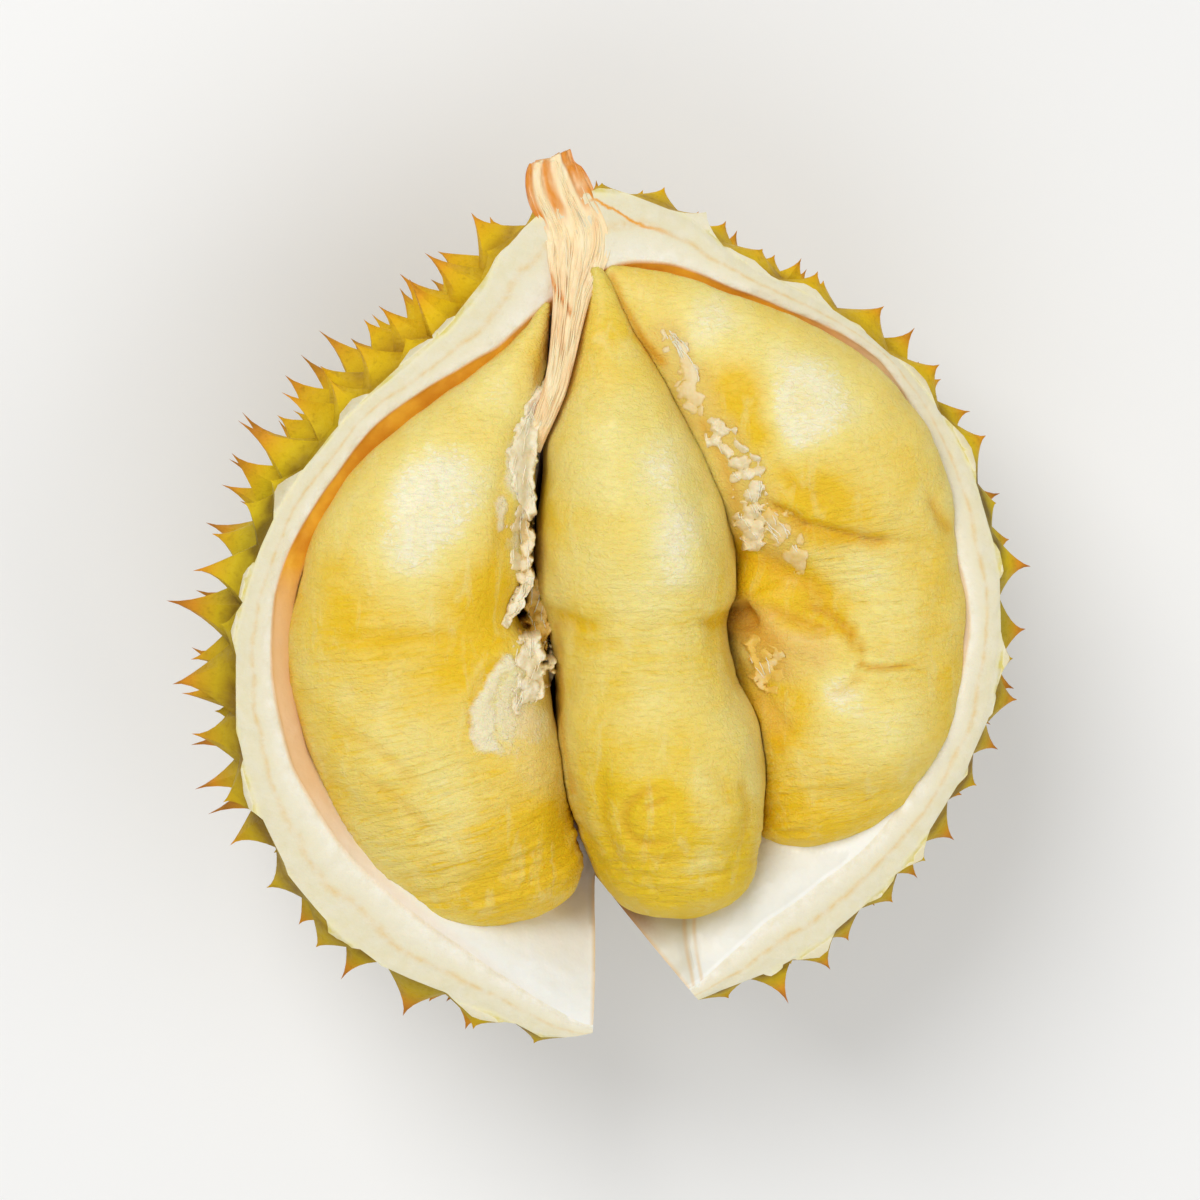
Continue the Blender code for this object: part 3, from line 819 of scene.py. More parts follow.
def splitCutter():
    # the wedge that is missing at the bottom, cut right through the rind
    end = np.array(husk["splitEnd"])
    far = [end + (np.array(tip) - end) * husk["splitBeyond"] for tip in husk["splitTips"]]
    ring = np.array([end, far[0], far[1]])
    under, over = husk["splitOver"]
    levels = [-under, rimHeight + over]
    mesh = gridMesh("split", np.array([np.column_stack([ring, [z] * 3]) for z in levels]))
    mesh.materials.append(pithFinish)
    faceOut(mesh)
    return newObject("split", mesh)


def smoothRindTree():
    # the rind without its thorns, to measure heights from
    rows, sides, pole = 70, 140, 0.02
    rise = np.linspace(pole, math.pi - pole, rows)
    around = anglesOf(sides)
    grid = np.array([
        rindPlaces(np.column_stack([
            np.sin(r) * np.cos(around), np.sin(r) * np.sin(around), np.full(sides, -np.cos(r))
        ])) for r in rise
    ])
    mesh = gridMesh("smoothRind", grid)
    bm = bmesh.new()
    bm.from_mesh(mesh)
    made = BVHTree.FromBMesh(bm)
    bm.free()
    return made


stains = {  # discolouring of the lining's edge, by angle in degrees from +X; its pinkish band is partly its own tint, partly painted shade
    "stain": [
        (0, 0.3), (30, 0.35), (46, 0.55), (60, 1.0), (96, 1.0), (106, 0.9), (116, 1.0),
        (172, 1.0), (188, 0.55), (200, 0.2), (230, 0.1), (262, 0), (325, 0), (345, 0.35),
    ],
    "blushAndShade": [(0, 0), (172, 0), (186, 0.8), (208, 0.85), (222, 0.35), (240, 0.1), (262, 0)],
}
stainLine = [  # on the pith by the stem
    (-8.5, 97.9), (-6, 97.6), (-3.9, 96.4), (0.2, 94.3), (2, 93), (5.7, 91.7), (10, 90.3),
    (14, 88.6),
]
splitShade = {  # of the lining beside the split
    "patch": (-6, -60),  # it lies to the right of the first, and below the second
    "shaded": (0.45, 0.55, 0.3, 1.2),  # overall, more left of the wall, from where, how softly
    "deepFrom": (9, 16),  # depth under the rim where the painted shade begins, and how softly
    "deepTo": (64, 10),  # where it ends towards the split, and how softly
    "dusk": 0.75,  # how dark the painted shadow is along the left cut
    "duskRows": (85, 9),  # where that ends, and how softly
    "duskWidth": (5.5, 4),  # how far from the cut, and how softly
    "duskPatch": (-3.6, -58),  # to the right of the first, and below the second
}


def paintOpening(mesh, places):
    # where the pith and the lining change colour
    around = np.arctan2(places[:, 1], places[:, 0])
    outline, lip = rimRadius(around), lipRadius(around)
    inward = outline - np.hypot(places[:, 0], places[:, 1])
    across = np.clip(inward / np.maximum(outline - lip, 0.5), 0, 1)
    setFloats(mesh, "rimAcross", np.where(inward < -0.8, 0.2, across))
    turns, ledge = np.degrees(around), turnTable(hollow["ledges"], np.degrees(around))
    past = lip - np.hypot(places[:, 0], places[:, 1])  # how far inside the lip
    onLedge = smoothStep((past + 0.5) / 0.7) * smoothStep((ledge + 2.5 - past) / 2)
    onLedge *= places[:, 2] > rimHeight - 14
    for name, table in stains.items():
        setFloats(mesh, name, onLedge * turnTable(table, turns))
    line = curveThrough(stainLine, 60)
    setFloats(mesh, "besideLine", 0.9 * (places[:, 1] - np.interp(places[:, 0], *line.T)))
    started = smoothStep((places[:, 0] - line[0, 0]) / 2)
    here = started * smoothStep((line[-1, 0] - places[:, 0]) / 12)
    setFloats(mesh, "lineHere", here * (places[:, 1] > 70) * (places[:, 2] > rimHeight - 4))
    # the lining by the split: beside the last wall, and along the cut edges
    rightOf, below = splitShade["patch"]
    low = (places[:, 1] < below) & (places[:, 0] > rightOf)
    beside = besideWall(places)
    setFloats(mesh, "besideWall", np.where(low, np.clip(beside, -30, 30), 30))
    overall, more, wallFrom, softly = splitShade["shaded"]
    shaded = overall + more * smoothStep((wallFrom - beside) / softly)
    setFloats(mesh, "shaded", low * shaded * (past > 1.5))
    end = np.array(husk["splitEnd"])
    cuts = [np.array([end, end + 2 * (np.array(tip) - end)]) for tip in husk["splitTips"]]
    besideCuts = [distanceToLine(places, cut)[0] for cut in cuts]
    setFloats(mesh, "besideSplit", np.minimum(*besideCuts))
    # painted shade: darker deep under the rim, fading towards the split, and a painted shadow along
    # the left cut
    (depth, softly), (lowest, over) = splitShade["deepFrom"], splitShade["deepTo"]
    shade = smoothStep((rimHeight - depth - places[:, 2]) / softly)
    shade = shade * smoothStep((places[:, 1] + lowest) / over)
    (lowest, over), (width, softly) = splitShade["duskRows"], splitShade["duskWidth"]
    dusk = smoothStep((places[:, 1] + lowest) / over) * smoothStep((width - besideCuts[1]) / softly)
    rightOf, below = splitShade["duskPatch"]
    dusk *= (places[:, 1] < below) & (places[:, 0] > rightOf)
    setFloats(mesh, "deep", np.maximum(shade, splitShade["dusk"] * dusk) * (past > 4))


def makeHusk():
    net = thornNet()
    outside = newObject("openHusk", bakedNodes(net, thornGrower(), {
        "Rings": husk["thornRings"], "Hollow": husk["thornHollow"], "Finish": skinFinish,
    }))
    cutters = [openingCutter(), splitCutter()]
    for cutter in cutters:
        boolean = outside.modifiers.new("cut", "BOOLEAN")
        boolean.operation = "DIFFERENCE"
        boolean.object = cutter
        boolean.material_mode = "TRANSFER"
    graph = bpy.context.evaluated_depsgraph_get()
    mesh = bpy.data.meshes.new_from_object(outside.evaluated_get(graph))
    outside.modifiers.clear()
    outside.data = mesh
    for cutter in cutters:
        bpy.data.objects.remove(cutter)
    print("husk cut open:", len(mesh.polygons), "faces")

    places = vertexPlaces(mesh)
    places[:, 2] = np.maximum(places[:, 2], 0)  # thorns it rests on are pressed flat
    mesh.vertices.foreach_set("co", (places * mm).ravel())
    smooth = smoothRindTree()
    rise = np.zeros(len(places))
    for k, place in enumerate(places):
        near = smooth.find_nearest(Vector(place) * mm)
        rise[k] = near[3] / mm
    setFloats(mesh, "thornRise", rise / (husk["thornLength"] * longerByRim(places)))
    paintOpening(mesh, places)
    mesh.shade_smooth()
    mesh.set_sharp_from_angle(angle=math.radians(husk["sharpAngle"]))
    return outside


huskPiece = makeHusk()
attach(huskPiece, "root")
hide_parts("husk")
print("husk done")


lobes = {
    "pulpMiddle": {
        "node": "pulp_middle", "finish": middlePulp, "seed": 5,
        "widest": (0.60, 0.60),  # share of the height where it is widest, inner and outer side
        "fullness": 0.86,  # below 1 its sections are fuller than an ellipse
        "rungs": [  # inner edge, outer edge, top and bottom, from the stem end
            ((-7.4, 80.5), (-5.0, 80.5), 97.4, 92), ((-8.2, 75.5), (-1.8, 76), 98.6, 89),
            ((-9.8, 67), (2.8, 68), 101, 84),
            ((-13.2, 56), (8.8, 58), 104, 72), ((-17.4, 44), (16.8, 44), 108, 62),
            ((-18.9, 31), (23.2, 31), 111, 54), ((-19.7, 17), (27.2, 17.5), 113, 48),
            ((-19.6, 4), (28.6, 4), 112.5, 44), ((-16.4, -7), (26.6, -6), 110.5, 42),
            ((-15.2, -20), (29.4, -17), 110.5, 42), ((-14.9, -32), (33.6, -29), 112, 42),
            ((-13.2, -43), (35.6, -41), 112.5, 44), ((-9.8, -54), (35, -53), 111, 48),
            ((-5.6, -64), (33, -63), 107.5, 54),
        ],
        "endReach": 13.0,
        "bulges": [  # centre, reach, height
            ((4, 24), 15, 1.6), ((9, -32), 14, 1.4), ((22, -46), 9, 1.0), ((-9, -28), 7, 0.9),
            ((24, -2), 6, -1.0), ((-15, -3), 6, -0.9), ((28, -28), 8, 1.6),
        ],
        "creases": [  # line, width, depth
            ([(-17, 0), (-12, -3), (-7, -4)], 1.6, 0.6),
            ([(-14, -6), (-8, -8), (0, -7)], 1.4, 0.35),
            ([(17, -1), (22, -3), (28, -1)], 1.6, 0.6),
            ([(8, 5), (17, 5), (25, 8)], 2.2, 0.3),
            ([(10, -41.5), (5, -41.8), (1, -44.5), (-0.7, -49), (1.3, -53.6), (6, -54.8),
              (12, -53)], 1.3, 0.9),
            ([(3.5, -46.2), (6, -45), (9.4, -43.2)], 1.0, 0.9),
            ([(-5, -36), (-5.4, -46), (-3.6, -55), (-0.6, -62)], 1.5, 0.6),
            ([(2, -57), (9, -58.5), (16, -55)], 1.8, 0.5),
            ([(26, -38), (29, -48), (27, -58)], 1.8, 0.5),
            ([(16, -36), (22, -40), (24, -47)], 1.6, 0.35),
        ],
        "wrinkled": [((-6, -60), 22, 1.4), ((22, -66), 18, 1.4), ((8, -6), 20, 0.9)],
        "patches": [  # kind, line, half width, how soft its edge is, amount; the deep ones are painted shade along crevices and edges
            ("deep", [(-8.2, 78), (-10, 71), (-12, 63), (-15, 52)], 0.3, 0.8, 0.8),
            ("deep", [(-18.6, 40), (-19.6, 22), (-19.6, 4)], 0.2, 1.0, 0.7),
            ("deep", [(-15.8, -4), (-14.6, -14), (-14.4, -30), (-12, -44)], 0.4, 0.9, 0.6),
            ("deep", [(-3.2, 80), (-0.8, 74), (3.2, 66), (8, 59)], 0.2, 0.8, 0.7),
            ("tan", [(-15, -3), (-11, -4.5)], 1.2, 1.6, 0.55),
            ("tan", [(19.6, -47.6), (21.4, -49.6)], 0.7, 1.2, 0.8),
        ],
        "golden": [  # centre, reach, amount; below zero is paler, as pale patches and painted highlights; above zero deeper golden, in places painted shade
            ((8, -54), 24, 0.5), ((20, -72), 18, 0.45), ((8, 36), 8, -0.55), ((-13, -4), 6, 0.25),
            ((12, 20), 8, -0.55), ((8, 8), 8, -0.3), ((5, -44), 6, 0.4), ((2, 66), 14, 0.25),
            ((-14, 22), 7, 0.3), ((19, -48), 5, -0.55), ((-4, -22), 10, 0.15), ((3, -62), 9, 0.3),
            ((17, -39), 4.5, -0.6), ((18.5, -60), 5.5, -0.75), ((-4, -44), 5, 0.25),
            ((28, -63), 6, 0.3), ((-7, 44), 9, -0.3), ((1, 62), 5, -0.35),
            ((16, -24), 12, 0.1), ((6, -8), 28, -0.15),
            ((29, -22), 5.5, -0.3), ((31, -32), 5.5, -0.4), ((31.5, -42), 5, -0.3),
        ],
    },
    "pulpLeft": {
        "node": "pulp_left", "finish": sidePulp, "seed": 3,
        "widest": (0.66, 0.70),
        "fullness": 0.84,
        "rungs": [
            ((-17.5, 72), (-19, 73), 96, 91), ((-17.5, 64), (-26.5, 64), 99, 80),
            ((-18.8, 52), (-41.6, 52), 102, 66), ((-20.6, 36), (-61.2, 35.6), 105, 52),
            ((-21.2, 21), (-73.0, 19.6), 107.5, 42), ((-22.0, 7.5), (-79.6, 1), 108, 36),
            ((-24.0, -1.5), (-80.6, -10), 107.8, 34), ((-17.6, -10), (-79.6, -20), 107.2, 33),
            ((-16.2, -20), (-76, -34), 106.5, 33),
            ((-15.2, -33), (-70, -49), 105, 34), ((-12.2, -48), (-61.5, -62.5), 103, 37),
            ((-9.4, -59), (-53, -71.5), 99.5, 43),
        ],
        "endReach": 14.5,
        "bulges": [
            ((-47, 26), 22, 3.0), ((-40, -48), 20, 2.0), ((-62, -14), 18, 0.8),
            ((-50, -12), 10, -0.8),
            ((-26, -22), 9, -0.9), ((-20, -2.5), 4.5, -3.0), ((-22, 20), 6, -1.6),
            ((-19, -37), 9, 1.5),
        ],
        "creases": [
            ([(-70, -5), (-58, -6), (-46, -5), (-38, -6)], 1.8, 0.35),
            ([(-27, -9.5), (-32, -13), (-35.8, -18.5), (-37.4, -25), (-36, -31)], 0.9, 0.6),
            ([(-70, -26), (-58, -33), (-48, -42)], 1.6, 0.45),
            ([(-64, -38), (-54, -44), (-46, -53)], 1.5, 0.45),
            ([(-24, 46), (-30, 30), (-31, 12)], 2.2, 0.5),
        ],
        "wrinkled": [((-22, -66), 26, 2.0), ((-58, -45), 24, 1.2), ((-66, -10), 20, 0.5)],
        "patches": [
            ("cottony", [(-28, -12), (-32.6, -17.5), (-34.2, -24), (-33.6, -31)], 2.0, 1.3, 1.0),
            ("cottony", [(-33.6, -31), (-31, -33), (-28, -33)], 0.8, 2.2, 0.45),
            ("cottony", [(-26, -14), (-29.5, -21), (-28.5, -28)], 2.4, 3.0, 0.6),
            ("tan", [(-21, -14), (-23.5, -22), (-23.5, -30), (-20, -37)], 4.6, 4.0, 0.5),
            ("cottony", [(-19, -25), (-20.5, -33)], 1.2, 2.5, 0.55),
            ("deep", [(-16.6, -10), (-15.6, -22), (-14.2, -36), (-11.4, -50)], 0.4, 1.0, 0.7),
            ("deep", [(-20.6, 40), (-21, 24), (-21.6, 8)], 0.2, 1.2, 0.6),
            ("deep", [(-80.6, -12), (-79.6, -20), (-76, -34), (-70, -49), (-61.5, -62.5),
                      (-52.6, -71.5)], 0.5, 1.1, 0.9),
            ("cottony", [(-19, 51), (-24, 43), (-27, 36), (-26, 30)], 2.6, 1.8, 0.85),
            ("cottony", [(-29.6, 27), (-29.4, 21)], 1.3, 1.0, 0.9),
            ("cottony", [(-25.4, 21), (-26, 14), (-24, 8)], 1.6, 2.4, 0.7),
        ],
        "golden": [
            ((-22, -66), 22, 0.5), ((-23.5, -27), 7.5, -0.8), ((-28, -17.5), 5, -1.0),
            ((-29, -25), 5, -0.8), ((-72, -8), 16, 0.15), ((-44, 30), 11, -1.1),
            ((-50, 17), 10, -0.9), ((-20, -50), 14, 0.5), ((-33, 4), 12, 0.65),
            ((-42, -50), 13, -0.5), ((-31, 52), 8, -0.4), ((-70, 2), 11, 0.25),
            ((-58, -34), 8, -0.3), ((-38, -12), 8, 0.5), ((-52, -8), 30, 0.12),
            ((-19, -40), 7, -0.45),
        ],
    },
    "pulpRight": {
        "node": "pulp_right", "finish": sidePulp, "seed": 9,
        "widest": (0.62, 0.80),
        "fullness": 0.84,
        "rungs": [
            ((-4.2, 79), (-1.5, 82.5), 96.5, 90), ((-1.2, 70), (11, 81), 99.5, 80),
            ((3.6, 61), (26.5, 75.5), 102, 70), ((9.5, 50.5), (44, 68.5), 105.5, 58),
            ((15, 39.5), (59.5, 59.5), 108.5, 48), ((21, 28), (72, 45.5), 110, 41),
            ((25.5, 17), (79, 29), 109, 36), ((26.5, 6), (82, 15), 106, 33),
            ((26.5, -5), (84, 1.5), 105, 31), ((27.5, -16), (84, -12), 104.5, 31),
            ((30, -28), (82, -24), 105, 32), ((33, -40), (79, -33.5), 104, 36),
            ((34, -51), (74, -43), 100.5, 42),
        ],
        "endReach": 13.5,
        "bulges": [
            ((42, 46), 17, 3.0), ((62, 32), 14, 1.4), ((47, 2), 10, -3.2), ((64, -27), 17, 2.4),
            ((68, 4), 12, 1.0), ((33, 10), 9, -2.5), ((36, -18), 9, -2.2), ((20, 68), 12, 0.8),
        ],
        "creases": [
            ([(33.5, 26.5), (39, 23), (44.5, 19.2)], 1.1, 1.5),
            ([(43, 20.6), (48, 19.6), (52, 18.3), (58, 17), (67, 16.3)], 0.9, 1.3),
            ([(34, 23), (42, 20), (50, 18), (58, 17), (66, 16)], 3.0, 0.9),
            ([(28, 12.5), (36, 9.5), (44, 5.5), (50, 0)], 3.0, 1.0),
            ([(40.5, 1.6), (47, -0.4), (52, -3.4), (55.4, -7.4), (56.4, -12.4)], 1.3, 1.4),
            ([(55.8, -11.5), (57.4, -13.3), (60.5, -13.8), (65, -13.6), (70.5, -12.8)], 0.8, 1.1),
            ([(57, -14), (54, -18), (49, -20)], 1.6, 0.7),
            ([(72, 28), (76, 22), (80, 18)], 1.8, 0.9),
            ([(36, 36), (40, 30), (48, 27)], 1.6, 0.5),
            ([(27.5, 1), (29.5, -2), (31, -6)], 2.4, 4.0),
            ([(33, 1), (42, -3), (50, -5)], 1.8, 1.2),
            ([(31, -15), (35, -24), (42, -32)], 1.6, 0.7),
        ],
        "wrinkled": [((50, -50), 22, 1.4), ((50, 14), 18, 1.2), ((70, -10), 14, 0.7)],
        "patches": [
            ("deep", [(-2.6, 80), (-0.2, 74), (4, 66), (9, 59.5)], 0.7, 1.2, 0.9),
            ("deep", [(18.5, 45), (22.5, 38), (26.5, 27), (28.5, 17)], 0.6, 1.6, 0.6),
            ("deep", [(33.8, 26.5), (39, 22.6), (44.4, 19.4)], 0.3, 0.9, 0.9),
            ("deep", [(29, 12.8), (36, 9.6), (43.7, 6), (50, -1), (55, -8)], 0.6, 1.8, 0.7),
            ("deep", [(34, -22), (36.5, -27), (38, -33)], 1.2, 2.6, 0.45),
            ("tan", [(33, -5), (38, -8), (45, -9)], 3.4, 3.0, 0.9),
            ("tan", [(31, -3), (34, -8), (37, -14)], 4.5, 3.5, 0.9),
            ("tan", [(34, -20), (38, -27)], 3.0, 3.0, 0.5),
            ("deep", [(31.5, -5), (35, -9), (35.5, -14)], 3.0, 3.0, 0.66),
            ("tan", [(10, 66), (15, 56), (19, 47)], 4.2, 2.5, 0.7),
            ("tan", [(23, 42), (30, 27), (38, 16)], 5.0, 2.6, 0.75),
        ],
        "golden": [
            ((35, 6), 8, 1.0), ((44, -1), 7, 1.0), ((46, -58), 20, 0.65), ((42, 52), 9, -1.2),
            ((39, 44), 6, -0.7), ((38, -26), 8, 0.9), ((76, -20), 14, 0.3), ((20, 70), 8, -0.45),
            ((61, -28), 13, -0.45), ((56, 6), 26, -0.12), ((51, -20), 4.5, -0.7),
            ((45, 26), 9, 0.75), ((55, 8), 9, -0.25), ((62, 32), 10, 0.25),
            ((72, 12), 8, 0.3), ((26, 52), 7, 0.9), ((32, 42), 5, 0.7), ((54, 44), 12, -0.25),
        ],
    },
}
lobeGrain = {
    "rows": 210,
    "sides": 150,
    "capRows": 26,
    "stemReach": 0.6,  # how far the tip by the stem goes on, as a share of its thickness
    "easing": (10, 12),  # rounds of it, and rows over which the bend at the caps is eased
    "swells": ((0.9, 24, 2), (0.5, 10, 2)),  # height, size, octaves
    "creaseStray": (0.6, 5),  # how far creases stray from their lines, over what distance
    "shoulder": (0.4, 2.4, 1.5),  # share of a crease's depth, and its place and width in widths
    "deepCrease": 1.6,  # creases as deep as this get the most painted shade
    "wrinkles": (0.36, 0.2),  # height of the fine ones and the finer ones
    "wrinkleSize": (2.1, 13),  # along and across, in millimetres
    "finerBy": (2.3, 1.7, 1.7),  # how many times finer the finer ones are
    "wrinkledLeast": 0.28,
    "goldenLeast": 0.34,
    "goldenest": 1,
    "palest": -0.6,
    "sideShade": (7, 20),  # how far over its widest line a side's shade begins, and its depth
    "ragged": ((1.6, 5, 3), (1.8, 13, 1)),  # tears of patches' edges: height, size, octaves
    "raggedDeep": 0.25,  # share of that for the deep ones
    "gapLeft": [(-60, 0.08), (-38, 0.35)],  # gap to the middle lobe, by y
    "gapRight": [(-60, 0.25), (0, 0.12), (20, 0.02)],
}


def gridNormals(points):
    # which way the skin over rings of points faces
    along = np.gradient(points, axis=0)
    around = np.roll(points, -1, axis=1) - np.roll(points, 1, axis=1)
    normals = np.cross(around, along)
    return normals / np.maximum(np.linalg.norm(normals, axis=2), 1e-9)[:, :, None]


def lobeRings(lobe):
    # rings of points down the lobe, with rounded ends, and the height where each is widest
    rungs = lobe["rungs"]
    rows, sides, capRows = (lobeGrain[key] for key in ("rows", "sides", "capRows"))
    inner = curveThrough([r[0] for r in rungs], rows)
    outer = curveThrough([r[1] for r in rungs], rows)
    top, bottom = curveThrough([r[2:] for r in rungs], rows).T
    turn = anglesOf(sides)
    # even egg sections, fuller than an ellipse
    wide = np.sign(np.cos(turn)) * np.abs(np.cos(turn)) ** lobe["fullness"]
    tall = np.sign(np.sin(turn)) * np.abs(np.sin(turn)) ** lobe["fullness"]
    # the outer side stays full almost up to the rim
    share = np.interp(wide, (-1, 1), lobe["widest"])
    widest = bottom[:, None] + (top - bottom)[:, None] * share
    middle, half = (inner + outer) / 2, (outer - inner) / 2
    points = np.zeros((rows, sides, 3))
    points[:, :, :2] = middle[:, None] + half[:, None] * wide[None, :, None]
    rise = np.where(tall > 0, top[:, None] - widest, widest - bottom[:, None])
    points[:, :, 2] = widest + rise * tall
    caps = []
    for row, step in ((0, points[0].mean(0) - points[3].mean(0)),
                      (-1, points[-1].mean(0) - points[-4].mean(0))):
        centre = points[row].mean(0)
        thick = np.linalg.norm(points[0] - centre, axis=1).mean()
        reach = lobe["endReach"] if row else lobeGrain["stemReach"] * thick
        way = step / np.linalg.norm(step)
        angles = np.linspace(0, math.pi / 2, capRows + 2)[1:-1]
        caps.append(np.array([
            centre + (points[row] - centre) * math.cos(a) ** 0.8 + way * reach * math.sin(a) ** 1.1
            for a in angles
        ]))
    points = np.concatenate([caps[0][::-1], points, caps[1]])
    rounds, reach = lobeGrain["easing"]
    for _ in range(rounds):
        eased = points[1:-1] * 0.5 + (points[:-2] + points[2:]) * 0.25
        place = np.minimum(np.arange(1, len(points) - 1), np.arange(len(points) - 2, 0, -1))
        weight = smoothStep(1.5 - np.abs(place - capRows) / reach)[:, None, None]
        points[1:-1] += (eased - points[1:-1]) * weight
    levels = np.r_[[widest[0].min()] * capRows, widest.min(axis=1), [widest[-1].min()] * capRows]
    return points, turn, levels


def foldLobe(lobe, flat, upper):
    # how far swells, bulges and creases push the skin out, and how deep in a crease it lies
    seed = lobe["seed"]
    raised = sum(high * noiseAt(flat, size, octaves, seed + k)
                 for k, (high, size, octaves) in enumerate(lobeGrain["swells"]))
    for spot, reach, height in lobe["bulges"]:
        raised += height * bellAt(flat, spot, reach) * upper
    (strayHeight, straySize), (high, out, wide) = lobeGrain["creaseStray"], lobeGrain["shoulder"]
    stray = strayHeight * noiseAt(flat, straySize, 1, seed + 4)
    folded = np.zeros(len(flat))
    for line, width, depth in lobe["creases"]:
        gap, along = distanceToLine(flat, curveThrough(line, 40))
        gap = np.abs(gap + stray * smoothStep(gap / 2))
        fade = smoothStep(along * 5) * smoothStep((1 - along) * 5) * 0.75 + 0.25
        groove = bell(gap, width) * upper * fade
        shoulder = bell(gap - out * width, wide * width) * upper * fade
        raised += depth * (high * shoulder - groove)
        folded = np.maximum(folded, groove * min(depth / lobeGrain["deepCrease"], 1))
    return raised, folded


def wrinkleLobe(lobe, points, turn):
    # fine wrinkles across the lobe, how strong they are, and the run along it that they follow
    rows, sides = points.shape[:2]
    flat, seed = points.reshape(-1, 3), lobe["seed"]
    steps = np.linalg.norm(np.diff(points.mean(1), axis=0), axis=1)
    along = np.repeat(np.r_[0, np.cumsum(steps)], sides)
    around = np.tile(np.sin(turn) * 22, rows) + flat[:, 0] * 0.15
    upOrDown = np.cos(np.tile(turn, rows))
    long, broad = lobeGrain["wrinkleSize"]
    run = np.column_stack([along / long, around / broad, upOrDown])
    fine = noiseAt(run, 1, 3, seed + 2)
    finer = noiseAt(run * lobeGrain["finerBy"], 1, 2, seed + 3)
    wrinkled = np.full(len(flat), lobeGrain["wrinkledLeast"])
    for spot, reach, amount in lobe["wrinkled"]:
        wrinkled += amount * bellAt(flat, spot, reach)
    rowsIn = np.repeat(np.minimum(np.arange(rows), np.arange(rows)[::-1]), sides)
    here = smoothStep(noiseAt(flat, 14, 1, seed + 6) * 1.4 + 0.6) * smoothStep((rowsIn - 6) / 14)
    fineHeight, finerHeight = lobeGrain["wrinkles"]
    raised = (fineHeight * fine + finerHeight * finer) * wrinkled * here
    crinkly = np.clip(0.16 + 0.5 * (wrinkled - lobeGrain["wrinkledLeast"]), 0, 1)
    crinkly = crinkly * smoothStep((rowsIn - 2) / 10)
    return raised, crinkly, np.column_stack([along, around, 3 * upOrDown])


def paintLobe(mesh, lobe, flat, golden, paintedShade):
    # ripeness all over, with painted highlights and shade in it, and the patches
    seed, poles = lobe["seed"], [0, -1]
    ripeAndLight = np.clip(np.r_[golden, golden[poles]], lobeGrain["palest"], lobeGrain["goldenest"])
    setFloats(mesh, "ripeAndLight", ripeAndLight)
    ragged = sum(high * noiseAt(flat, size, octaves, seed + 8 + k)
                 for k, (high, size, octaves) in enumerate(lobeGrain["ragged"]))
    painted = {kind: np.zeros(len(flat)) for kind in ("tan", "cottony", "deep")}
    for kind, line, half, soft, amount in lobe["patches"]:
        gap, _ = distanceToLine(flat, curveThrough(line, 20))
        stray = ragged * (lobeGrain["raggedDeep"] if kind == "deep" else 1)
        patch = amount * smoothStep((half + soft - gap + stray) / (2 * soft))
        painted[kind] = np.maximum(painted[kind], patch)
    # the deep patches are painted shade, joined to that of the creases and sides
    painted["hollow"] = np.maximum(paintedShade, painted.pop("deep"))
    for kind, amount in painted.items():
        setFloats(mesh, kind, np.r_[amount, amount[poles]])


def makeLobe(name):
    lobe = lobes[name]
    points, turn, levels = lobeRings(lobe)
    rows, sides = points.shape[:2]
    normals = gridNormals(points)
    if (normals[rows // 2, sides // 4] @ (0, 0, 1)) < 0:
        normals = -normals
    flat, facing = points.reshape(-1, 3), normals.reshape(-1, 3)
    upper = smoothStep(facing[:, 2] * 2.5 + 0.3)
    raised, folded = foldLobe(lobe, flat, upper)
    wrinkles, crinkly, run = wrinkleLobe(lobe, points, turn)
    raised += wrinkles
    flat += facing * raised[:, None]
    mesh = gridMesh(name, points)
    golden = lobeGrain["goldenLeast"] + 0.1 * noiseAt(flat, 18, 2, lobe["seed"] + 7)
    for spot, reach, amount in lobe["golden"]:
        golden += amount * bellAt(flat, spot, reach)
    # painted shade: deeper golden on the sides facing down, in creases and in dents
    golden += 0.35 * (1 - upper) + 0.5 * folded + 0.25 * np.clip(-raised, 0, 1.2) * upper
    # painted shade down the sides below the widest line, and in creases
    over, depth = lobeGrain["sideShade"]
    side = smoothStep((np.repeat(levels, sides) + over - flat[:, 2]) / depth)
    paintedShade = np.clip(0.85 * folded ** 1.5 + 0.7 * side, 0, 1)
    paintLobe(mesh, lobe, flat, golden, paintedShade)
    setFloats(mesh, "wrinkled", np.r_[crinkly, 0, 0])
    setVectors(mesh, "run", np.r_[run, run[[0, -1]]])
    mesh.materials.append(lobe["finish"])
    faceOut(mesh)
    mesh.shade_smooth()
    return newObject(name, mesh)


def treeOf(*objects):
    # finds places on the objects' surfaces quickly
    verts, faces = [], []
    for one in objects:
        start = len(verts)
        verts += [v.co.copy() for v in one.data.vertices]
        faces += [[start + k for k in face.vertices] for face in one.data.polygons]
    return BVHTree.FromPolygons(verts, faces)


def pressOff(soft, firm, gaps):
    # where one lobe runs into a firmer one, it is pressed back to its surface
    tree = treeOf(firm)
    for vertex in soft.data.vertices:
        clearance = np.interp(vertex.co.y / mm, *zip(*gaps)) * mm
        near, normal = tree.find_nearest(vertex.co, 0.03)[:2]
        if near is None:
            continue
        depth = (vertex.co - near).dot(normal)
        if depth < clearance:
            vertex.co = near + normal * clearance
    soft.data.update()


flesh = {name: makeLobe(name) for name in lobes}
pressOff(flesh["pulpLeft"], flesh["pulpMiddle"], lobeGrain["gapLeft"])
pressOff(flesh["pulpRight"], flesh["pulpMiddle"], lobeGrain["gapRight"])
for name, piece in flesh.items():
    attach(piece, "root")
    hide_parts(lobes[name]["node"])
leftTree, rightTree = treeOf(flesh["pulpLeft"]), treeOf(flesh["pulpRight"])
print("flesh done")


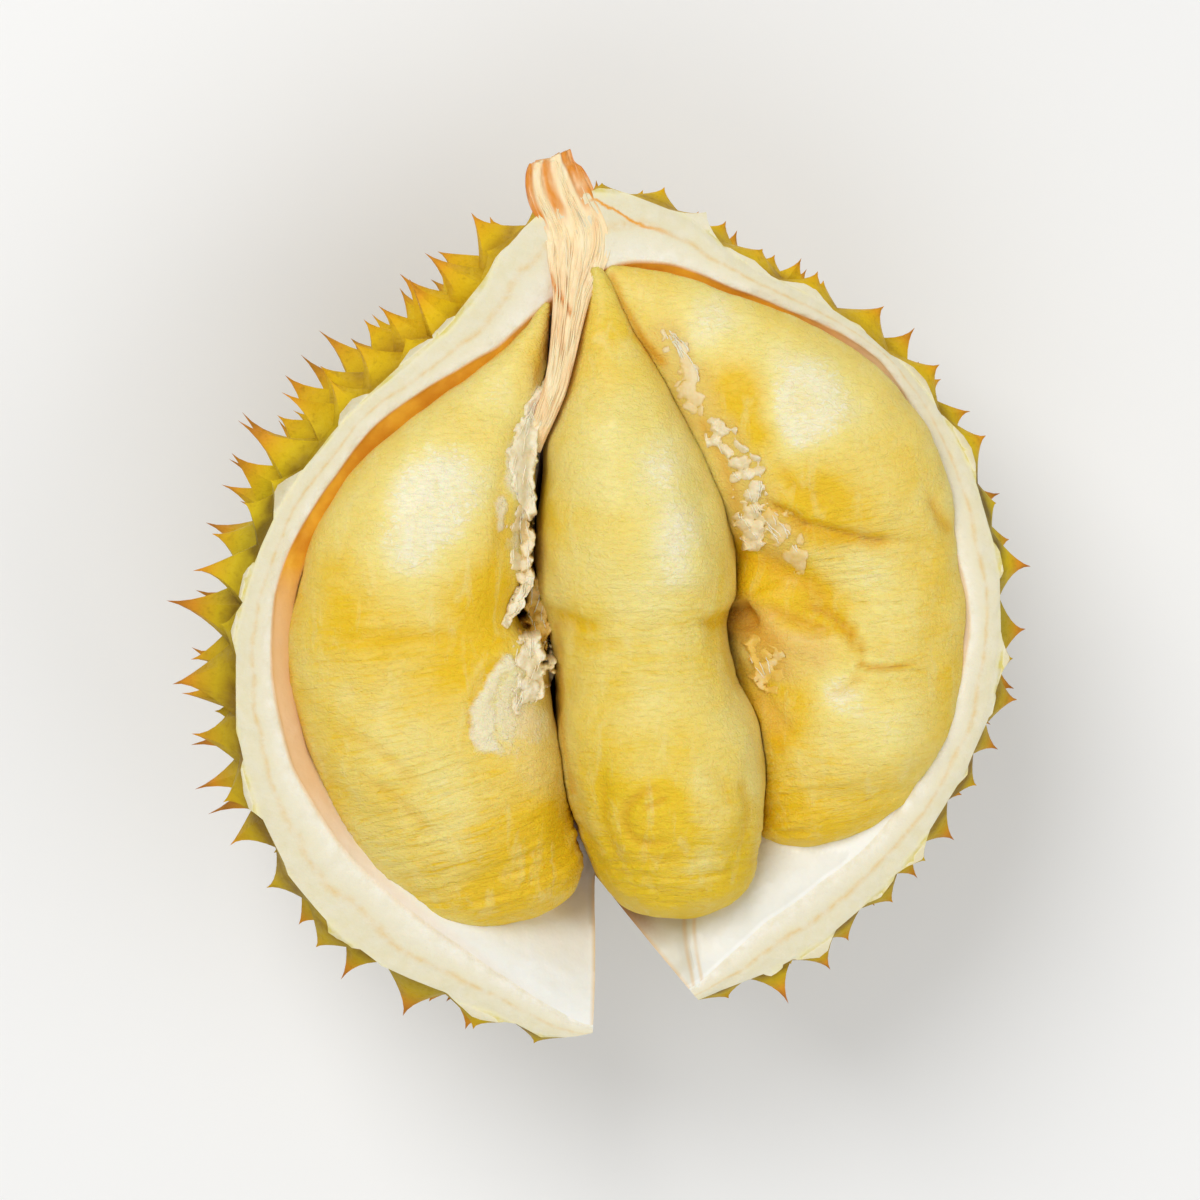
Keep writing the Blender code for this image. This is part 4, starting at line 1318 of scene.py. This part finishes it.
core = {
    "route": [  # middle x, y, half width, height of its top
        (-17.0, 108.0, 4.6, 96.0), (-16.6, 104.5, 6.8, 97.0), (-15.2, 100, 7.8, 97.2),
        (-12.8, 95, 7.6, 96.6), (-10.6, 89, 8.0, 96.3), (-11.2, 82.5, 6.8, 97.2),
        (-12.4, 75.5, 4.6, 99.2), (-13.7, 68, 3.7, 101.0), (-15.1, 60, 3.1, 102.2),
        (-16.7, 53, 2.8, 102.2), (-18.6, 47.5, 2.6, 100.8), (-20.2, 42.5, 2.2, 98.0),
        (-21.2, 38, 1.6, 95.0),
    ],
    "deep": 9.0,  # how far it goes down under its top
    "rows": 300,
    "sides": 128,
    "fullness": 0.7,  # below 1 its sections are fuller than an ellipse
    "thick": 1.6,  # most depth, as a share of its half width
    "crown": 0.9,  # how much its middle stands over its edges
    "ridge": 0.4,
    "ridgeSize": (0.9, 9),  # across and along
    "grooves": [(-1.08, -0.76), (-0.42, -0.10), (0.46, 1.08)],  # across the stub, -1 left, 1 right
    "grooveDepth": 0.7,
    "grooveEdge": 0.14,
    "seam": [(-17.4, 80), (-15.6, 76), (-12.8, 71)],
    "seamSize": 0.7,  # how wide and how deep
    "stubFrom": 92,
    "strandTo": 84,
    "fibres": 60,
    "fibreRadius": 0.17,
    "fibreWave": 0.5,
    "fibreWaves": 260,  # per metre
    "fibreTaper": 0.12,  # share of its length over which a fibre thins at each end
    "fibreTip": 0.25,  # how thick it still is there
    "seed": 4,
}


def coreAt(share):
    # middle, half width and top height at a share of the way down the core
    route = curveThrough(core["route"], 200)
    place = share * (len(route) - 1)
    return np.array([np.interp(place, np.arange(len(route)), route[:, k]) for k in range(4)]).T


def makeCore():
    rows, sides = core["rows"], core["sides"]
    share = np.linspace(0, 1, rows)
    x, y, half, top = coreAt(share).T
    way = np.gradient(np.column_stack([x, y]), axis=0)
    way /= np.linalg.norm(way, axis=1)[:, None]
    across = np.column_stack([-way[:, 1], way[:, 0]])
    turn = anglesOf(sides)
    wide = np.sign(np.cos(turn)) * np.abs(np.cos(turn)) ** core["fullness"]
    tall = np.sin(turn)
    points = np.zeros((rows, sides, 3))
    points[:, :, 0] = x[:, None] + across[:, 0:1] * half[:, None] * wide
    points[:, :, 1] = y[:, None] + across[:, 1:2] * half[:, None] * wide
    deep = np.minimum(core["deep"], half * core["thick"])
    crown = core["crown"]
    section = np.where(tall > 0, -crown * (1 - tall), -crown + deep[:, None] * tall)
    points[:, :, 2] = top[:, None] + section
    flat = points.reshape(-1, 3)
    lane = np.tile(wide, rows)
    facing = np.tile(smoothStep(tall * 3 + 0.5), rows)
    acrossRidges, alongRidges = core["ridgeSize"]
    lanes = np.column_stack([
        lane * np.repeat(half, sides) / acrossRidges, np.repeat(share * 100, sides) / alongRidges,
        np.tile(tall * 3, rows),
    ])
    ridged = noiseAt(lanes, 1, 3, core["seed"])
    stub = np.repeat(smoothStep((y - core["stubFrom"]) / 6), sides)
    edge = core["grooveEdge"]
    grooved = np.max([
        smoothStep((lane - low) / edge + 0.5) * smoothStep((high - lane) / edge + 0.5)
        for low, high in core["grooves"]
    ], axis=0) * stub
    gap, _ = distanceToLine(flat, curveThrough(core["seam"], 30))
    seam = bell(gap, core["seamSize"])
    ending = np.repeat(smoothStep((0.03 - share) / 0.03), sides)  # the cut end is torn
    relief = core["ridge"] * ridged * 1.3 - core["grooveDepth"] * grooved
    flat[:, 2] += facing * (relief - core["seamSize"] * seam)
    flat[:, 1] += ending * (1.0 * noiseAt(flat, 1.4, 2, 8) + 1.2 * lane)
    mesh = gridMesh("core", points)
    # grooves and the seam are rusty, and so are the outer strands and the sides
    strand = np.repeat(smoothStep((core["strandTo"] - y) / 6), sides)
    strand = strand * smoothStep((np.abs(lane) - 0.72) / 0.25)
    rust = np.maximum.reduce([
        grooved * (0.92 + 0.5 * ridged), 0.3 * strand, 0.7 * seam,
        0.8 * (1 - facing), 0.15 * smoothStep(ridged * 2 - 0.5),
    ])
    setFloats(mesh, "rust", np.clip(np.r_[rust, 0.3, 0.2], 0, 1))
    mesh.materials.append(coreFinish)
    faceOut(mesh)
    mesh.shade_smooth()
    return newObject("core", mesh)


def fibreSpinner():
    # rounds guide lines into wavy tapering fibres
    tree, given = treeWith("fibreSpinner", {
        "Radius": "Float", "Wave": "Float", "Wave Size": "Float", "Finish": "Material",
    })
    lines = putNode(tree, "GeometryNodeMeshToCurve", {"Mesh": given["Geometry"]}).outputs[0]
    wave = putNode(tree, "ShaderNodeTexNoise", {
        "Scale": given["Wave Size"], "Detail": 2.0,
    }).outputs["Color"]
    centred = putNode(tree, "ShaderNodeVectorMath", {0: wave, 1: (0.5, 0.5, 0.5)},
                      operation="SUBTRACT").outputs[0]
    sway = putNode(tree, "ShaderNodeVectorMath", {0: centred, "Scale": given["Wave"]},
                   operation="SCALE").outputs[0]
    waved = putNode(tree, "GeometryNodeSetPosition", {"Geometry": lines, "Offset": sway})
    along = putNode(tree, "GeometryNodeSplineParameter").outputs["Factor"]
    fromEnd = mathOf(tree, "PINGPONG", along, 0.5)
    taper = rangeOf(tree, fromEnd, 0.0, core["fibreTaper"], core["fibreTip"])
    sized = putNode(tree, "GeometryNodeSetCurveRadius", {
        "Curve": waved.outputs[0], "Radius": mathOf(tree, "MULTIPLY", taper, given["Radius"]),
    })
    ring = putNode(tree, "GeometryNodeCurvePrimitiveCircle", {"Resolution": 6, "Radius": 1.0})
    rounded = putNode(tree, "GeometryNodeCurveToMesh", {
        "Curve": sized.outputs[0], "Profile Curve": ring.outputs[0], "Fill Caps": True,
    })
    if "Scale" in rounded.inputs:
        size = putNode(tree, "GeometryNodeInputRadius").outputs[0]
        tree.links.new(size, rounded.inputs["Scale"])
    return endTree(tree, rounded.outputs[0], given["Finish"])


fibreTree = fibreSpinner()


def spunFibres(name, guides, radius, wave, waveSize, finish):
    # one mesh of fibres, one along each guide line
    verts = [point * mm for line in guides for point in line]
    edges, start = [], 0
    for line in guides:
        edges += [(start + k, start + k + 1) for k in range(len(line) - 1)]
        start += len(line)
    mesh = bpy.data.meshes.new(name + "Guides")
    mesh.from_pydata([tuple(v) for v in verts], edges, [])
    spun = bakedNodes(newObject(name + "Guides", mesh), fibreTree, {
        "Radius": radius * mm, "Wave": wave * mm, "Wave Size": waveSize, "Finish": finish,
    })
    spun.name = name
    return newObject(name, spun)


def coreFibres():
    chance = random.Random(core["seed"])
    guides = []
    for _ in range(core["fibres"]):
        start = chance.uniform(0.0, 0.7)
        end = min(start + chance.uniform(0.12, 0.4), 0.88)
        lane = chance.uniform(-0.9, 0.9)
        if start < 0.18:
            lane = chance.choice((-0.58, 0.16)) + chance.uniform(-0.14, 0.14)
        drift = lane + chance.gauss(0, 0.1)
        shares = np.linspace(start, end, 28)
        x, y, half, top = coreAt(shares).T
        way = np.gradient(np.column_stack([x, y]), axis=0)
        way /= np.linalg.norm(way, axis=1)[:, None]
        lanes = np.linspace(lane, drift, 28) * half
        sunk = np.where(np.abs(lanes / half) > 0.8, 0.6, 0.0) + chance.uniform(-0.2, 0.2)
        guides.append(np.column_stack([
            x - way[:, 1] * lanes, y + way[:, 0] * lanes, top - sunk,
        ]))
    return spunFibres("coreFibres", guides, core["fibreRadius"], core["fibreWave"],
                      core["fibreWaves"], coreFinish)


coreBody = makeCore()
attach(coreBody, "root")
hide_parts("stem")
coreStrands = coreFibres()
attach(coreStrands, "root")
print("core and stem done")


placentas = {
    # thickness, crumbliness, lowest ground, brownness, fibres, the CAD solid it stands for, and
    # its route: x, y and half width
    "bandUpper": (1.7, 0.3, 98, -0.15, 14, None, [
        (-16.0, 60, 0.8), (-17.7, 54, 2.5), (-20.2, 49, 3.6), (-22.4, 44, 4.5), (-24.0, 38, 5.3),
        (-24.4, 33, 5.2), (-23.8, 28.5, 4.2), (-22.4, 24, 2.8), (-21.6, 19.5, 1.2)]),
    "bandLower": (1.2, 0.75, 98, 0.28, 12, None, [
        (-23.4, 28.5, 2.0), (-24.4, 22, 3.8), (-24.6, 16, 4.2), (-24.2, 10, 3.8), (-23.2, 5, 1.8)]),
    "finger": (1.9, 0.45, 98, -0.1, 8, None, [
        (-21.4, 9.5, 1.2), (-23.6, 5, 2.9), (-26.2, 0.4, 3.3), (-29.2, -4.4, 1.8)]),
    "patchLeft": (2.0, 0.6, 97, 0.05, 16, "placenta_left", [
        (-22.4, -4.4, 3.0), (-22.2, -8.5, 6.4), (-22.4, -13.5, 7.8), (-23.2, -18.0, 7.0),
        (-24.6, -22.0, 4.6), (-25.6, -26, 1.4)]),
    # the nook fills the dark hole by the left lobe: its full brownness is partly the placenta's own
    # brown, partly painted shade
    "nook": (1.6, 0.6, 88, 1.0, 6, None, [
        (-19.6, 9, 1.4), (-20.2, 4, 3.0), (-20.4, -1, 4.4), (-19.4, -6, 3.6), (-17.6, -11, 1.4)]),
    "shred": (0.9, 0.7, 97, 0.45, 12, "placenta_right_upper", [
        (8.4, 69, 1.2), (10.8, 65, 3.0), (13.2, 60.5, 4.6), (15.0, 55.5, 5.0), (16.8, 50.5, 4.2),
        (18.2, 45.5, 1.8)]),
    "crumbsUpper": (2.0, 0.95, 98, 0.2, 8, None, [
        (19.2, 47, 1.8), (22.8, 42.5, 4.2), (25.8, 37.5, 5.8), (28.0, 32.2, 6.4), (29.4, 27, 5.8),
        (30.0, 22.5, 2.6)]),
    "crumbsLower": (1.8, 0.95, 97, 0.3, 8, None, [
        (28.4, 27.5, 2.4), (30.0, 22.5, 5.2), (31.0, 17.5, 5.0), (31.8, 13, 2.2)]),
    "film": (0.7, 0.75, 97, 0.75, 10, None, [
        (32.0, 25.5, 1.8), (35.4, 21.8, 5.0), (38.6, 17.2, 5.4), (41.0, 12.4, 3.8),
        (42.6, 6.6, 1.2)]),
    "patchRight": (0.7, 0.85, 95, 1.2, 5, "placenta_right_lower", [
        (30.6, -6, 1.4), (32.6, -9.6, 4.0), (34.6, -13.4, 4.8), (36.0, -17.6, 4.0),
        (37.2, -21.4, 1.6)]),
}
placentaGrain = {
    "rows": 170,
    "cols": 64,
    "edge": 0.86,
    "noFlesh": 60.0,  # height where there is none under it
    "easing": 14,
    "hang": 14,  # how far its edges hang down into gaps
    "bite": (0.7, 2.5),  # how far its edge and its underside go into the flesh
    "fibre": (0.15, 0.9, 420),  # radius, wave, waves per metre
    "firstSeed": 20,
    "ragged": (0.22, 0.55),  # smooth ones, crumbly ones
    "crumb": 3.1,  # distance between crumbs
    "tuck": 0.62,  # how much narrower the underside is
}


def fleshHeight(x, y):
    tree = leftTree if x < 0 else rightTree
    hit = tree.ray_cast(Vector((x, y, 160)) * mm, Vector((0, 0, -1)))
    return hit[0].z / mm if hit[0] else placentaGrain["noFlesh"]


def makePlacenta(name, seed):
    # a torn spongy blanket that follows the flesh under it and bridges its gaps
    thick, crumbly, lowest, brown, _, _, route = placentas[name]
    rows, cols = placentaGrain["rows"], placentaGrain["cols"]
    route = curveThrough(route, rows)
    way = np.gradient(route[:, :2], axis=0)
    way /= np.linalg.norm(way, axis=1)[:, None]
    across = np.column_stack([-way[:, 1], way[:, 0]])
    side = np.linspace(-1, 1, cols)
    places = route[:, None, :2] + across[:, None] * (route[:, None, 2:3] * side[None, :, None])
    flat = np.dstack([places, np.zeros((rows, cols))]).reshape(-1, 3)
    tatter = (noiseAt(flat, 5, 2, seed) + 0.6 * noiseAt(flat, 2.2, 3, seed + 5)).reshape(rows, cols)
    ground = np.array([fleshHeight(x, y) for x, y, _ in flat]).reshape(rows, cols)
    soft = np.maximum(ground, lowest)
    for _ in range(placentaGrain["easing"]):
        soft[1:-1] = (soft[:-2] + 2 * soft[1:-1] + soft[2:]) / 4
        soft[:, 1:-1] = (soft[:, :-2] + 2 * soft[:, 1:-1] + soft[:, 2:]) / 4
        soft = np.maximum(soft, ground)
    along = np.linspace(0, 1, rows)[:, None]
    reach = np.abs(side)[None] + tatter * np.interp(crumbly, (0, 1), placentaGrain["ragged"])
    ends = np.minimum(along, 1 - along) * 9 + tatter * 0.5
    cover = smoothStep((placentaGrain["edge"] - reach) / 0.45) * smoothStep(ends)
    size = placentaGrain["crumb"]
    crumbs = np.array([
        noise.voronoi(Vector((x + 40 * seed, y, 0)) / size)[0][0] for x, y, _ in flat
    ])
    lumps = (0.95 - 1.5 * crumbs ** 1.5 - 0.5 * np.abs(noiseAt(flat, 4.0, 2, seed + 1))
             + 0.2 * noiseAt(flat, 1.2, 3, seed + 2)).reshape(rows, cols)
    lift = thick * cover * np.maximum(1 - crumbly + crumbly * lumps, 0.04)
    # its edges go into the flesh, and hang down where there is none
    overGap = smoothStep((soft - ground - 1) / 2)
    holes = crumbly * smoothStep((0.12 - lumps) / 0.3)
    (edgeBite, underBite), hang = placentaGrain["bite"], placentaGrain["hang"]
    sunk = (edgeBite + thick + hang * overGap) * (1 - cover) ** 2 + 1.2 * holes
    upperSide = np.dstack([places, soft + lift - sunk])
    tucked = route[:, None, :2] + (places - route[:, None, :2]) * placentaGrain["tuck"]
    lowerSide = np.dstack([tucked, soft - thick - underBite - hang * overGap])
    loop = np.concatenate([upperSide, lowerSide[:, ::-1]], axis=1)
    mesh = gridMesh(name, loop)
    rust = brown * (0.9 + 0.4 * tatter) + (0.3 + 0.5 * brown) * (1 - cover)
    rust += 0.5 * crumbly * smoothStep(0.55 - lumps)
    rust = np.concatenate([rust, np.ones((rows, cols))], axis=1).ravel()
    setFloats(mesh, "rust", np.clip(np.r_[rust, 0.5, 0.5], 0, 1))
    mesh.materials.append(placentaFinish)
    faceOut(mesh)
    mesh.shade_smooth()
    return newObject(name, mesh), upperSide


def placentaFibres(name, seed, upperSide):
    chance = random.Random(seed)
    rows, cols = upperSide.shape[:2]
    guides = []
    for _ in range(placentas[name][4]):
        row, col = chance.randrange(14, rows - 50), chance.uniform(0.2, 0.8) * (cols - 1)
        length, slant = chance.randrange(16, 46), chance.uniform(-0.3, 0.3)
        picked = []
        for k in range(0, length, 2):
            r = min(row + k, rows - 1)
            c = int(min(max(col + slant * k, 1), cols - 2))
            picked.append(upperSide[r, c] + (0, 0, 0.1 + 0.25 * math.sin(k / length * math.pi)))
        guides.append(np.array(picked))
    return spunFibres(name + "Fibres", guides, *placentaGrain["fibre"], placentaFinish)


for seed, (name, patch) in enumerate(placentas.items(), placentaGrain["firstSeed"]):
    blanket, upperSide = makePlacenta(name, seed)
    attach(blanket, "root")
    if patch[5]:
        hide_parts(patch[5])
    if patch[4]:
        strands = placentaFibres(name, seed, upperSide)
        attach(strands, "root")
print("placenta done")


stage = {
    "lookAt": (-4, 1, 80),
    "from": (-0.09, 0.08, 1.0),  # direction from the fruit to the camera
    "distance": 850,
    "lens": 104,
    "lightsAim": (0, 0, 0.07),
    "lights": {  # place in metres, size, power
        "keyLight": ((-0.55, 0.7, 1.2), 0.8, 11.4),
        "fillLight": ((0.9, -0.25, 0.9), 1.2, 3.9),
        "frontLight": ((-0.1, -0.9, 1.1), 1.2, 5.0),
    },
    "room": ((1, 1, 1, 1), 0.37),  # colour and strength of the light from all sides
    "floor": 3,  # half its width in metres
    "floorColour": (0.88, 0.88, 0.87, 1),
}


def softLight(name, place, size, power):
    light = bpy.data.lights.new(name, "AREA")
    light.shape = "DISK"
    light.size = size
    light.energy = power
    made = newObject(name, light)
    made.location = place
    made.rotation_mode = "QUATERNION"
    aim = Vector(stage["lightsAim"]) - Vector(place)
    made.rotation_quaternion = aim.to_track_quat("-Z", "Y")


edge = stage["floor"]
floorMesh = bpy.data.meshes.new("floor")
floorMesh.from_pydata([(-edge, -edge, 0), (edge, -edge, 0), (edge, edge, 0), (-edge, edge, 0)],
                      [], [(0, 1, 2, 3)])
floorFinish, _, _ = newMaterial("paleFloor", Roughness=0.9, Base_Color=stage["floorColour"])
floorMesh.materials.append(floorFinish)
floor = newObject("floor", floorMesh)

for name, (place, size, power) in stage["lights"].items():
    softLight(name, place, size, power)
world = bpy.data.worlds.new("paleRoom")
world.use_nodes = True
background = world.node_tree.nodes["Background"].inputs
background["Color"].default_value, background["Strength"].default_value = stage["room"]
bpy.context.scene.world = world
bpy.context.scene.view_settings.view_transform = "Standard"

camera = newObject("camera", bpy.data.cameras.new("camera"))
direction = Vector(stage["from"]).normalized()
camera.location = (Vector(stage["lookAt"]) + direction * stage["distance"]) * mm
across = Vector((0, 1, 0)).cross(direction).normalized()
camera.rotation_euler = Matrix((across, direction.cross(across), direction)).transposed().to_euler()
camera.data.lens = stage["lens"]
bpy.context.scene.camera = camera
print("stage ready")
